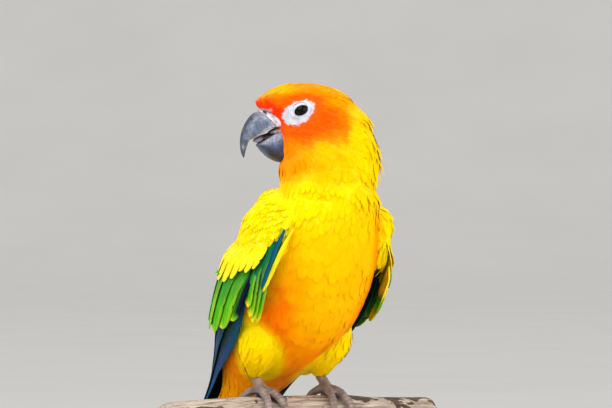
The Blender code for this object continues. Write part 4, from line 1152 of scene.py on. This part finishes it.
def blade(surface, tint, taper, length, seed, count=26, across=9):
    """A flight feather as (points, faces, colours, places): thin and closed, with a raised shaft.

    surface(s, v, rise) gives its points and tint(s, v, length) its colours; s runs from the tip in
    millimetres and v across from -1 to 1.
    """
    dice = np.random.default_rng(seed)
    spread = np.linspace(0, 1, count)
    s = length * (0.35 * spread**2 + 0.65 * spread)
    round_tip = np.sqrt(np.clip(1 - (1 - np.clip(s / taper, 0, 1)) ** 2, 0, 1))
    half = np.maximum(round_tip, 0.03) * (1 - 0.45 * smooth(0.7, 1.0, s / length))
    splits = np.ones((count, 2))
    for _ in range(3):
        splits[dice.integers(2, count // 2), dice.integers(0, 2)] -= dice.uniform(0.06, 0.2)
    s, v = np.meshgrid(s, np.linspace(-1, 1, across), indexing="ij")
    wide = (v * half[:, None] * np.where(v < 0, splits[:, :1], splits[:, 1:])).ravel()
    s, v = s.ravel(), v.ravel()
    ridge = 0.16 * spot((v, 0, 0.12)) - 0.22 * v**2
    points = np.vstack([surface(s, wide, ridge), surface(s, wide, ridge - VANE_BODY)])
    colours = tint(s, wide, length)
    total = count * across
    faces = grid_faces(count, across, False)
    faces += [tuple(corner + total for corner in face[::-1]) for face in faces]
    grid = np.arange(total).reshape(count, across)
    rim = np.hstack([grid[:, 0], grid[-1, 1:], grid[-2::-1, -1], grid[0, -2:0:-1]]).tolist()
    faces += [(a, b, b + total, a + total) for a, b in zip(rim, rim[1:] + rim[:1])]
    places = np.column_stack([np.tile(wide * 4, 2), np.tile(s, 2)])
    return points, faces, np.vstack([colours, colours * UNDERSIDE]), places


def join_vanes(name, vanes, finish):
    """Many vanes as one object with their colours, blade places and bake patches."""
    columns = math.ceil(math.sqrt(len(vanes)))
    faces, patches, start = [], [], 0
    for index, (points, own_faces, _, places) in enumerate(vanes):
        faces += [tuple(corner + start for corner in face) for face in own_faces]
        start += len(points)
        local = (places - places.min(0)) / (np.ptp(places, 0) + 1e-9)
        local[:, 0] = local[:, 0] * 0.46 + np.repeat([0.0, 0.5], len(points) // 2)
        patch = np.array([index % columns, index // columns]) / columns
        patches.append(patch + (0.02 + 0.94 * local) / columns)
    points, _, colours, places = zip(*vanes)
    obj = make_object(name, np.vstack(points), faces, finish)
    face_outward(obj)
    set_colours(obj.data, "tint", np.vstack(colours))
    set_vectors(obj.data, "blade", np.vstack(places))
    set_bake_map(obj.data, np.vstack(patches))
    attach(obj, "root")
    return obj


def rooted(t, degrees, root, share, free, tilt, side):
    """A vane's height: from a share of the flesh at its root to its free height and tilt."""
    out = smooth(0, 0.75, root - t)
    return flesh(t, degrees, share, side) * (1 - out) + free * out - tilt * (0.4 + 0.6 * out)


def guided_vane(side, tip, root, width, place, lift, tint, taper, *build):
    """A vane that lies along the body from section tip to section root, as in the solids."""
    ends = body_points([tip, root], [place(tip), place(root)], GUIDE_LIFT, side)
    length = float(np.linalg.norm(ends[0] - ends[1]))

    def surface(s, v, extra):
        t = tip + (root - tip) * s / length
        middle = place(t)
        run = (body_points(t, middle + 1, GUIDE_LIFT, side)
               - body_points(t, middle - 1, GUIDE_LIFT, side))
        per_degree = np.linalg.norm(run, axis=1) / 2
        at = middle + v * (width(t) if callable(width) else width) / 2 / per_degree
        return body_points(t, at, lift(t, at) + VANE_TOP + extra, side)

    return blade(surface, tint, taper, length, *build)


def secondary_tint(order, s, v, length):
    """Green with a yellow-green edge and tip; bluer towards the root."""
    green = mix(GREEN, BLUE_GREEN, smooth(10, 26, s) * 0.55)
    edge = smooth(-0.5, -0.97, v) * smooth(length, 2, s) + smooth(4.5, 0.5, s)
    colour = layered(green, (LIME, np.clip(0.8 * edge + 0.14 * math.sin(3 * order), 0, 1)),
                     (WING_YELLOW, smooth(2.2, 0.0, s) * 0.6))
    if order == COVERT_COUNT:
        colour = mix(colour, NIGHT_BLUE, smooth(0.1, -0.45, v) * smooth(2, 6, s))
    return mix(colour, NIGHT_BLUE, smooth(0.25, 0.9, v) * smooth(1, 8, s))


def covert_tint(order, s, v, length):
    """Primary coverts: blue-green with bright tips, the inner ones dark blue."""
    dark = smooth(-0.2, 0.5, v) * smooth(0.5, 2.5, order) + smooth(0.4, 1.0, v) * 0.4
    return layered(GREEN, (BLUE_GREEN, smooth(3, 18, s)),
                   (LIME, smooth(-0.4, -0.95, v) * 0.7 * smooth(length, 4, s)),
                   (WING_YELLOW, smooth(7 - order, 0.5, s) * 0.8),
                   (NIGHT_BLUE, np.clip(dark * smooth(0, 5, s), 0, 0.95)))


def greater_tint(order, s, v, _):
    """Greater coverts: yellow with fine pale edges, green showing between the front ones."""
    front = float(smooth(3.5, 0.0, order))
    return layered(WING_YELLOW, (GOLD, smooth(4, 14, s) * 0.25),
                   (LIME, smooth(0.35, 0.95, v) * (0.4 + 0.5 * front)),
                   (GREEN, smooth(0.6, 1.0, v) * front * smooth(0, 3, s)))


def primary_tint(s, v, length):
    """Primaries: deep blue outer web, blackish inner web, greener at the base."""
    return layered(BLUE, (NIGHT_BLUE, smooth(-0.5, 0.1, v)),
                   (BLUE_GREEN, smooth(length * 0.55, length, s) * 0.5),
                   (BLUE_GREEN, smooth(-0.8, -1.0, v) * 0.5))


def edge_tint(order, _, v, __):
    """The narrow feathers on the wing's front edge: a deep blue row, then a yellow one."""
    if order:
        return np.full((len(v), 3), mix(WING_YELLOW, LIME, 0.15))
    return layered(EDGE_BLUE, (NIGHT_BLUE, smooth(0.1, 0.9, v) * 0.5),
                   (BLUE_GREEN, smooth(0.2, -0.7, v) * 0.85))


def place_at(t, row):
    """Degrees of an upper feather's middle, fanned out towards its tip."""
    at_tip, at_fold, _, tip, _ = row
    return at_tip + (at_fold - at_tip) * np.clip((t - tip) / (TIER_FOLD - tip), 0, 1)


def rank_of(places, at):
    """How many places lie in front of each of these, counted smoothly past both ends."""
    count = np.clip(np.sum(places <= at, 0) - 1, 0, len(places) - 2)
    here = np.take_along_axis(places, count[None], 0)[0]
    after = np.take_along_axis(places, count[None] + 1, 0)[0]
    rank = count + np.clip((at - here) / (after - here), 0, 1)
    return rank + np.minimum(at - places[0], 0) / 3.5 + np.maximum(at - places[-1], 0) / 12.0


def free_height(at):
    """The height of the upper feathers past their roots, lower over the wing's front."""
    return UPPER_LIFT - 1.2 * (1 - np.clip((at - 52.0) / 26.0, 0, 1)) ** 2


def upper_vane(side, i, row):
    """A primary covert, secondary or tertial, which lies over its neighbour to the front."""
    _, _, root, tip, width = row

    def lift(t, at):
        rank = rank_of(np.array([place_at(t, other) for other in UPPER_TIER]), at)
        return rooted(t, at, root, 0.48, free_height(at), VANE_STEP * (rank - i), side)

    def tint(s, v, length):
        colour = (covert_tint if i < COVERT_COUNT else secondary_tint)(i, s, v, length)
        if side == "right" and i <= LAST_GREEN:
            return colour
        start = (YELLOW_ROOT[side] - tip) / (root - tip) * length
        share = smooth(start - 1.5, start + 1.0, s + 1.5 * np.abs(v))
        return mix(colour, WING_YELLOW, share)

    taper = 6.0 if i < COVERT_COUNT else 8.0
    return guided_vane(side, tip, root, width, lambda t: place_at(t, row), lift, tint, taper, i)


def greater_vane(side, i, row):
    """A greater covert, which grows from under the small coverts over the secondaries' roots."""
    degrees, root, tip, width = row
    places = np.array([other[:1] for other in GREATER_COVERTS])

    def lift(t, at):
        out = smooth(0, 0.55, root - t)
        tilt = 0.7 * (rank_of(np.tile(places, (1, len(at))), at) - i)
        bed = flesh(t, at, 0.8, side) - 0.5
        return bed * (1 - out) + (free_height(at) + 0.95) * out - tilt * (0.3 + 0.7 * out)

    return guided_vane(side, tip, root, width, lambda t: degrees, lift,
                       lambda *at: greater_tint(i, *at), 7.5, 20 + i, 22)


def primary_width(t):
    """How wide the long flight feathers are at a section; they narrow towards their tips."""
    return PRIMARY_WIDTH * (0.72 + 0.28 * np.clip((np.asarray(t) - 1) / 4, 0, 1))


def primary_spread(t):
    """(first feather's middle, step to the next) in degrees, and millimetres to a degree."""
    front, back = curve(WING_EDGES, t), curve(WING_EDGES, t, 2)
    run = body_points(t, 130.0, 1.0) - body_points(t, 120.0, 1.0)
    per_degree = np.linalg.norm(run, axis=1) / 10
    per_degree = per_degree if np.ndim(t) else float(per_degree[0])
    edge = primary_width(t) / 2 / per_degree
    inward = np.clip(np.asarray(t) - 5.0, 0, 1)
    first = front + edge + 8.0 * inward
    step = (back - edge - 6.0 * inward - first) / (len(PRIMARY_TIPS) - 1)
    return first, step, per_degree


def primary_vane(side, i, tip):
    """A long flight feather, along the rump and over the tail's side."""
    def place(t):
        first, step, _ = primary_spread(t)
        return first + step * i

    def lift(t, at):
        first, step, per_degree = primary_spread(t)
        rise = VANE_STEP * primary_width(t) / 2 / (step * per_degree)
        tilt = VANE_STEP * ((at - first) / step - i)
        return rooted(t, at, PRIMARY_ROOT, 0.2, PRIMARY_LIFT + rise, tilt, side)

    return guided_vane(side, tip, PRIMARY_ROOT, primary_width, place, lift, primary_tint, 12.0,
                       40 + i, 40)


def edge_vane(side, i, row):
    """A narrow feather along the wing's front edge: blue beside the coverts, or yellow."""
    degrees, fall, drop, tip, width = row
    root = EDGE_TOP[side] - drop

    def lift(t, at):
        over = flesh(t, at, 1.0, side) + 0.4 - 0.3 * i
        free = free_height(at) + 1.5 - 0.3 * i
        out = smooth(7.95, 7.5, t)
        return over * (1 - out) + free * out - 0.9 * smooth(root - 0.3, root, t)

    return guided_vane(side, tip, root, width, lambda t: degrees + fall * (EDGE_FOOT - t), lift,
                       lambda *at: edge_tint(i, *at), 5.0, 60 + i, 24, 7)


def wings(finish):
    """Both wings' flight feathers, greater coverts and front edges."""
    tiers = ((upper_vane, UPPER_TIER), (primary_vane, PRIMARY_TIPS),
             (greater_vane, GREATER_COVERTS), (edge_vane, EDGE_ROWS))
    for side in ("left", "right"):
        vanes = [vane(side, i, row) for vane, rows in tiers for i, row in enumerate(rows)]
        obj = join_vanes("wing_feathers_" + side, vanes, finish)
        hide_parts("wing_" + side)


def tail_points(distance, out, up):
    """Places in the tail's own frame: along its axis, to the left and towards its top."""
    lean = math.radians(BODY_LEAN)
    along = np.array([0.0, math.sin(lean), -math.cos(lean)])
    over = np.array([0.0, math.cos(lean), math.sin(lean)])
    distance, out, up = (np.asarray(v, float)[..., None] for v in (distance, out, up))
    return np.array([0.0, *TAIL_ROOT]) + along * distance + [1.0, 0.0, 0.0] * out + over * up


def tail_tint(s, v, length):
    """Olive green feathers that turn blue towards their tips."""
    return layered(OLIVE, (BLUE, smooth(length * 0.42, length * 0.12, s)),
                   (LIME, smooth(length * 0.75, length, s) * 0.6),
                   (NIGHT_BLUE, smooth(0.6, 1.0, np.abs(v)) * 0.35))


def tail_vane(i, share, out):
    """A tail feather on the left (out is 1) or right (-1); the left middle one lies on top."""
    level = 3.1 - i * VANE_STEP - (VANE_STEP if i or out < 0 else 0.0)
    inner, outer = ((0.4, TAIL_WIDTH * 0.62 + 0.95 * i) if i
                    else (-TAIL_WIDTH * 0.36, TAIL_WIDTH * 0.64))
    low, high = sorted((inner * out, outer * out))
    length = TAIL_LENGTH * share

    def surface(s, v, extra):
        across = (low + high) / 2 + (high - low) / 2 * v
        return tail_points(length - s, across, level + VANE_TOP + extra)

    return blade(surface, tail_tint, 26.0, length * 0.96, 80 + 2 * i + out, 40)


def tail(finish):
    """Twelve graduated tail feathers."""
    vanes = [tail_vane(i, share, out) for i, share in enumerate(TAIL_SHARES) for out in (-1, 1)]
    obj = join_vanes("tail_feathers", vanes, finish)
    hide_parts("tail")


# Bill, eyes and feet


def bill_rings(profile, half, steps, start, end, swell=0.0):
    """Rings round a bill part, and each point's share along it, down it and out from its middle."""
    half = np.array(half, float)
    fine = rows_at(half, np.linspace(0, len(half) - 1, 25))
    outline = np.vstack([fine, (fine * [1, -1])[-2:0:-1]])
    rings = []
    for row in rows_at(profile, np.linspace(start, end, steps)):
        high, low, wide = row[:2], row[2:4], row[4] + swell
        high = high + (high - low) / np.linalg.norm(high - low) * swell
        places = high + (low - high) * outline[:, :1]
        rings.append(head_points(places[:, 0], outline[:, 1] * wide, places[:, 1]))
    down, out = np.tile(outline, (steps, 1)).T
    return np.array(rings), np.repeat(np.linspace(0, 1, steps), len(outline)), down, np.abs(out)


def loft(name, rings, finish, colours):
    """A closed surface through rings, its ends filled, with one colour a point."""
    steps, count, _ = rings.shape
    points = np.vstack([rings.reshape(-1, 3), rings[0].mean(0), rings[-1].mean(0)])
    faces = grid_faces(steps, count)
    first, last = steps * count, steps * count + 1
    for k in range(count):
        faces.append(((k + 1) % count, k, first))
        faces.append(((steps - 1) * count + k, (steps - 1) * count + (k + 1) % count, last))
    obj = make_object(name, points, faces, finish)
    face_outward(obj)
    set_colours(obj.data, "tint", np.vstack([colours, colours[:1], colours[-1:]]))
    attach(obj, "root")
    return obj


def bill(horn, bare):
    """Both halves of the bill and the cere with its nostrils."""
    rings, s, down, out = bill_rings(UPPER_BILL, UPPER_HALF, 60, CERE_END + 0.05,
                                     len(UPPER_BILL) - 1)
    points = rings.reshape(-1, 3)
    cloud, streaks = waves(points, 2.6, 21), waves(points * [1, 1, 0.3], 1.0, 24)
    # Painted shade: a dark line along the culmen, where the ridge's far side is in shade
    culmen_shade = spot((down, 0.02, 0.15)) * smooth(0.02, 0.12, s)
    edge = smooth(0.84, 0.96, down) * smooth(0.55, 0.8, out) * smooth(0.75, 0.5, s)
    colours = layered(SLATE,
                      (DARK_HORN, np.clip(smooth(0.45, 1.0, s) * 0.75 + 0.16 * cloud, 0, 1)),
                      (DARK_HORN, 0.85 * culmen_shade),
                      (PALE_HORN, np.clip(0.22 * streaks, 0, 1) * smooth(0.95, 0.7, s)),
                      (PALE_HORN, smooth(0.09, 0.0, s) * (0.45 + 0.2 * cloud)),
                      (PALE_HORN, edge * 0.6),
                      # Painted shade: dark on the inner side under the cutting edge
                      (DARK_HORN, smooth(0.9, 0.6, out) * smooth(0.85, 0.95, down) * 0.8))
    upper = loft("bill_upper_horn", rings, horn, colours)
    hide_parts("bill_upper")
    rings, s, down, out = bill_rings(LOWER_BILL, LOWER_HALF, 44, 0.5, len(LOWER_BILL) - 1)
    points = rings.reshape(-1, 3)
    shadow = 0.4 + 0.45 * waves(points, 3.0, 22) + 0.4 * smooth(24, 29, in_head(points)[0])
    colours = layered(shade((68, 90, 134)), (DARK_HORN, np.clip(shadow, 0, 1)),
                      (PALE_HORN, smooth(0.55, 0.1, down) * smooth(0.55, 0.9, out) * 0.4),
                      # Painted shade: dark brown inside the lower bill, in the mouth where the
                      # tongue lies
                      (shade((70, 48, 50)), smooth(0.72, 0.6, out) * smooth(0.5, 0.4, down)))
    lower = loft("bill_lower_horn", rings, horn, colours)
    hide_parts("bill_lower")
    rings = bill_rings(UPPER_BILL, UPPER_HALF, 26, 0.15, CERE_END - 0.02, 0.35)[0]
    points = rings.reshape(-1, 3)
    forward, left, height = in_head(points)
    hole = np.hypot(forward - NOSTRIL[0], height - NOSTRIL[1])
    dent = smooth(1.0, 0.5, hole) * (np.abs(left) > 2.5)
    points = points - np.sign(left)[:, None] * head_axes()[1] * (dent * 1.4)[:, None]
    colours = mottled((216, 214, 222), (136, 124, 138), 0.3 + 0.6 * waves(points, 1.1, 23))
    # Painted shade: the nostril dents are darkened as the shade inside the nostrils
    colours = mix(colours, DARK_HORN, dent * 0.85)
    cere = loft("cere_skin", points.reshape(rings.shape), bare, colours)
    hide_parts("cere")


def rounded(profile):
    """Rings of a soft rounded body along a path in the head's own frame."""
    along, around = np.linspace(0, 1, 28), circle(32)
    full = np.sqrt(np.clip(1 - np.abs(2 * along - 1) ** 8, 0.01, 1))
    rows = rows_at(profile, along * (len(profile) - 1))
    return np.array([head_points(forward, np.cos(around) * wide * share,
                                 height + np.sin(around) * high * share)
                     for (forward, height, wide, high), share in zip(rows, full)])


def mouth(bare):
    """The tongue and the soft folded skin at the corners of the mouth."""
    rings = rounded(TONGUE)
    points = rings.reshape(-1, 3)
    colours = mottled((84, 52, 50), (48, 28, 28), 0.5 + 0.4 * waves(points, 1.5, 25))
    colours = mix(colours, shade((142, 138, 152)), smooth(27.8, 29.0, in_head(points)[0]))
    tongue = loft("tongue_flesh", rings, tinted_finish("tongue_skin", 0.35, 0.5, 3.0, 0.1), colours)
    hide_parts("tongue")
    rings = rounded(GAPE_SKIN)
    points = rings.reshape(-1, 3)
    forward, left, _ = in_head(points)
    folds = 0.14 * np.sin(forward * 4.2 + left * 1.3)
    points = points + folds[:, None] * [0, 0, 1.0]
    colours = mottled((168, 152, 162), (104, 92, 104),
                      0.4 + 2.2 * folds + 0.3 * waves(points, 1.2, 26))
    loft("gape_skin", points.reshape(rings.shape), bare, colours)


def eye_place(side):
    """(middle of the eyeball, direction it looks) on one side of the head."""
    t = 14.0 + (EYE_HEIGHT - 110.0) / 5.0
    row = rows_at(SECTIONS, t)[0]
    ahead = EYE_FORWARD - float(np.dot(row[:3] - head_points(0, 0, 0), head_axes()[0]))
    aside = row[5] * (1 - (ahead / row[6]) ** row[8]) ** (1 / row[8])
    turned = math.degrees(math.atan2(aside, ahead))
    degrees = HEAD_TURN - turned if side == "left" else HEAD_TURN + turned
    surface = body_points(t, degrees)[0]
    around = (body_points(t, degrees + 4) - body_points(t, degrees - 4))[0]
    upward = (body_points(t + 0.3, degrees) - body_points(t - 0.3, degrees))[0]
    look = np.cross(around, upward)
    look *= np.sign(np.dot(look, surface - row[:3])) / np.linalg.norm(look)
    return surface - look * EYE_DEPTH, look


def eyes(gloss, bare):
    """The eyeballs and the bare lids folded round them."""
    steps, count = 40, 64
    p, a = np.meshgrid(np.linspace(0.02, math.pi - 0.02, steps), circle(count), indexing="ij")
    bulge = EYE_RADIUS + 0.28 * spot((p, 0, 0.42))
    gaze = np.where(p > math.pi / 2, 1.0, np.sin(p))
    for side in ("left", "right"):
        middle, look = eye_place(side)
        ahead, _ = head_axes()
        level = ahead - look * np.dot(ahead, look)
        level /= np.linalg.norm(level)
        upright = np.cross(look, level)
        upright *= np.sign(upright[2])
        ball = middle + bulge[..., None] * (look * np.cos(p)[..., None]
                                            + level * (np.sin(p) * np.cos(a))[..., None]
                                            + upright * (np.sin(p) * np.sin(a))[..., None])
        eye = loft("eyeball_" + side, ball, gloss, np.zeros((steps * count, 3)))
        set_values(eye.data, "gaze", np.append(gaze.ravel(), [0.0, 1.0]))
        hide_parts("eye_" + side)
        lids(side, middle, look, level, upright, bare)


def lids(side, middle, look, level, upright, bare):
    """Upper and lower lid as a rounded rim that lies on the eyeball and fades into the skin."""
    tilt, count = math.radians(OPENING_TILT), 96
    around = circle(count)
    rings, colours = [], []
    for step, (past, rise) in enumerate(LID_PROFILE):
        x, y = (OPENING_HALF[0] + past) * np.cos(around), (OPENING_HALF[1] + past) * np.sin(around)
        x, y = x * math.cos(tilt) + y * math.sin(tilt), y * math.cos(tilt) - x * math.sin(tilt)
        wrinkle = 0.05 * np.sin(around * 23 + step) * (step > 1)
        reach = np.hypot(x, y)
        ball = np.sqrt(np.clip((EYE_RADIUS + 0.05) ** 2 - np.minimum(reach, 3.3) ** 2, 0.3, None))
        flat = EYE_DEPTH - 0.18 - 0.02 * reach**2
        blend = smooth(2.6, 3.6, reach)
        height = ball * (1 - blend) + flat * blend + rise + wrinkle
        rings.append(middle + look * height[:, None] + level * x[:, None] + upright * y[:, None])
        # Painted shade: grey in the fold of the lower lid
        under = smooth(0.2, -0.6, np.sin(around)) * spot((past, 1.2, 0.35))
        colours.append(layered(BARE_WHITE, (shade((112, 110, 124)), 0.7 * under),
                               (EYE_RIM, smooth(0.4, 0.05, past))))
    faces = grid_faces(len(rings), count)
    obj = make_object("eyelids_" + side, np.vstack(rings), faces, bare)
    face_outward(obj)
    solid = obj.modifiers.new("thickness", "SOLIDIFY")
    solid.thickness, solid.offset = 0.15 * MM, -1.0
    set_colours(obj.data, "tint", np.vstack(colours))
    apply_modifiers(obj)
    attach(obj, "root")


def feet(skin, horn):
    """Scaly feet and smooth dark claws, grown finer from the solids."""
    for side in ("left", "right"):
        obj = link_new("foot_skin_" + side, mesh_from(merged_copy("foot_" + side), "foot_skin"))
        remesh(obj, 0.28, 10)
        points, normals = vertex_points(obj.data)
        out = points[:, 1:] + [0, TOE_AXIS]
        around = np.arctan2(out[:, 0], out[:, 1])
        rings = np.abs(np.sin(around * TOE_AXIS * math.pi / 1.5))
        facing = np.sum(normals[:, 1:] * out, 1) / np.linalg.norm(out, axis=1)
        scaled = smooth(0.1, 0.6, facing) * smooth(5.5, 3.5, points[:, 2])
        scutes = (rings**0.35 - 0.8) * 0.22 * scaled
        beads = 0.06 * waves(points, 0.9, 31)
        move_points(obj.data, points + normals * (scutes + beads - SKIN_SWELL)[:, None])
        colours = mottled((150, 132, 124), (92, 78, 74), 0.4 + 0.4 * waves(points, 2.5, 32))
        # Painted shade: darker in the creases between the scales
        crease_shade = smooth(0.35, 0.1, rings) * scaled
        set_colours(obj.data, "tint", mix(colours, shade((56, 44, 42)), crease_shade * 0.7))
        coat_with(obj, skin)
        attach(obj, "root")
        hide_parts("foot_" + side)
        for name in ("inner_front", "outer_front", "outer_back", "inner_back"):
            claw("claw_" + name + "_" + side, horn)


def claw(node, horn):
    """A claw rounded off from its solid, dark at the tip."""
    obj = link_new(node + "_horn", mesh_from(merged_copy(node, 0.0), node + "_horn"))
    rounder = obj.modifiers.new("round", "SUBSURF")
    rounder.levels = rounder.render_levels = 2
    apply_modifiers(obj)
    height = vertex_points(obj.data)[0][:, 2]
    drop = smooth(height.max(), height.min(), height)
    set_colours(obj.data, "tint", mottled((112, 104, 102), (30, 27, 28), drop))
    coat_with(obj, horn)
    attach(obj, "root")
    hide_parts(node)


# Branch, stand and surroundings


def branch(finish):
    """The cut branch, with bark patches left on its weathered wood."""
    obj = link_new("branch", mesh_from(merged_copy("perch"), "branch"))
    remesh(obj, 0.8, 12)
    points, normals = vertex_points(obj.data)
    stretched = points * [0.15, 1, 1]
    free = smooth(22, 30, np.abs(points[:, 0]))
    bark = np.clip(0.5 + 0.35 * waves(stretched, 9, 41), 0, 1)
    relief = 0.1 * waves(stretched, 1.6, 42) + 0.15 * waves(stretched, 4.0, 43) - 0.05
    relief = relief + free * 0.2 * smooth(0.45, 0.6, bark)
    lower = -SKIN_SWELL - 0.12 + relief * (0.35 + 0.65 * free)
    move_points(obj.data, points + normals * lower[:, None])
    set_values(obj.data, "bark", bark)
    coat_with(obj, finish)
    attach(obj, "root")
    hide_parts("perch")


def stand(base, rod):
    """The base and rods keep their solids' shapes and take their finishes."""
    for name, finish in (("stand_base", base), ("stand_rod_left", rod), ("stand_rod_right", rod)):
        for material_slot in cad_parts[name].material_slots:
            material_slot.material = finish


def picture_axes():
    """Unit vectors to the right across the picture and away from the camera."""
    turn = math.radians(CAMERA_SIDE)
    return (np.array([math.cos(turn), math.sin(turn), 0.0]),
            np.array([-math.sin(turn), math.cos(turn), 0.0]))


def surroundings(finish):
    """A plain pale floor that curves up behind into a backdrop."""
    half, start, bend, height = 7500.0, 7500.0, 2500.0, 6000.0
    profile = [(-half, 0.0), (start, 0.0)]
    profile += [(start + bend * math.sin(a), bend * (1 - math.cos(a)))
                for a in np.linspace(0.05, math.pi / 2, 24)]
    profile.append((start + bend, height))
    across, away = picture_axes()
    points = [across * x + away * y + [0, 0, z] - REST for y, z in profile for x in (-half, half)]
    faces = [(2 * i, 2 * i + 1, 2 * i + 3, 2 * i + 2) for i in range(len(profile) - 1)]
    floor = make_object("floor", points, faces, finish)


def look_at(obj, target):
    """Points an object's -Z axis at a target."""
    way = np.array(target) - np.array(obj.location)
    obj.rotation_euler = Vector(way).to_track_quat("-Z", "Y").to_euler()


def camera():
    """The photograph's view: level, from the bird's right front."""
    across, away = picture_axes()
    target = (REST + across * PICTURE_MIDDLE[0] * PICTURE_SCALE
              + np.array([0, 0, PICTURE_MIDDLE[1] * PICTURE_SCALE]))
    data = bpy.data.cameras.new("camera")
    data.sensor_width = SENSOR
    data.lens = SENSOR * CAMERA_REACH / (PICTURE_WIDTH * PICTURE_SCALE)
    data.clip_end = 20.0
    obj = link_new("camera", data)
    obj.location = (target - away * CAMERA_REACH) * MM
    look_at(obj, target * MM)
    bpy.context.scene.camera = obj


def lamp(name, azimuth, elevation, reach, size, power):
    """A soft square light, placed by its bearing from the bird."""
    a, e = math.radians(azimuth), math.radians(elevation)
    middle = REST * MM + np.array([0, 0, 0.06])
    way = np.array([math.sin(a) * math.cos(e), -math.cos(a) * math.cos(e), math.sin(e)])
    data = bpy.data.lights.new(name, "AREA")
    data.size, data.energy = size, power
    obj = link_new(name, data)
    obj.location = middle + way * reach
    look_at(obj, middle)


def lights():
    """Soft daylight from above and the bird's right, filled from all round."""
    lamp("key", -70, 46, 1.3, 1.3, 18)
    lamp("fill", 20, 20, 1.6, 1.3, 12)
    lamp("back", 150, 50, 1.5, 0.8, 10)
    world = bpy.data.worlds.new("world")
    bpy.context.scene.world = world
    world.use_nodes = True
    ground = world.node_tree.nodes["Background"]
    ground.inputs["Color"].default_value = (1.0, 1.0, 1.0, 1.0)
    ground.inputs["Strength"].default_value = 0.78


def main():
    """Builds everything in order."""
    camera()
    surroundings(floor_finish())
    lights()
    horn, bare = horn_finish(), tinted_finish("bare_skin", 0.6, 0.3, 3.0, 0.12)
    skin = skin_mesh()
    coat_with(skin, skin_finish())
    dress_skin(skin)
    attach(skin, "root")
    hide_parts("torso", "neck", "head", "thigh_left", "thigh_right")
    plumage(skin)
    sleek = vane_finish()
    wings(sleek)
    tail(sleek)
    bill(horn, bare)
    mouth(bare)
    eyes(eye_finish(), bare)
    feet(tinted_finish("foot_skin", 0.6, 0.3, 4.0, 0.08), horn)
    branch(branch_finish())
    stand(base_finish(), rod_finish())
    bpy.context.scene.view_settings.view_transform = "Standard"


main()
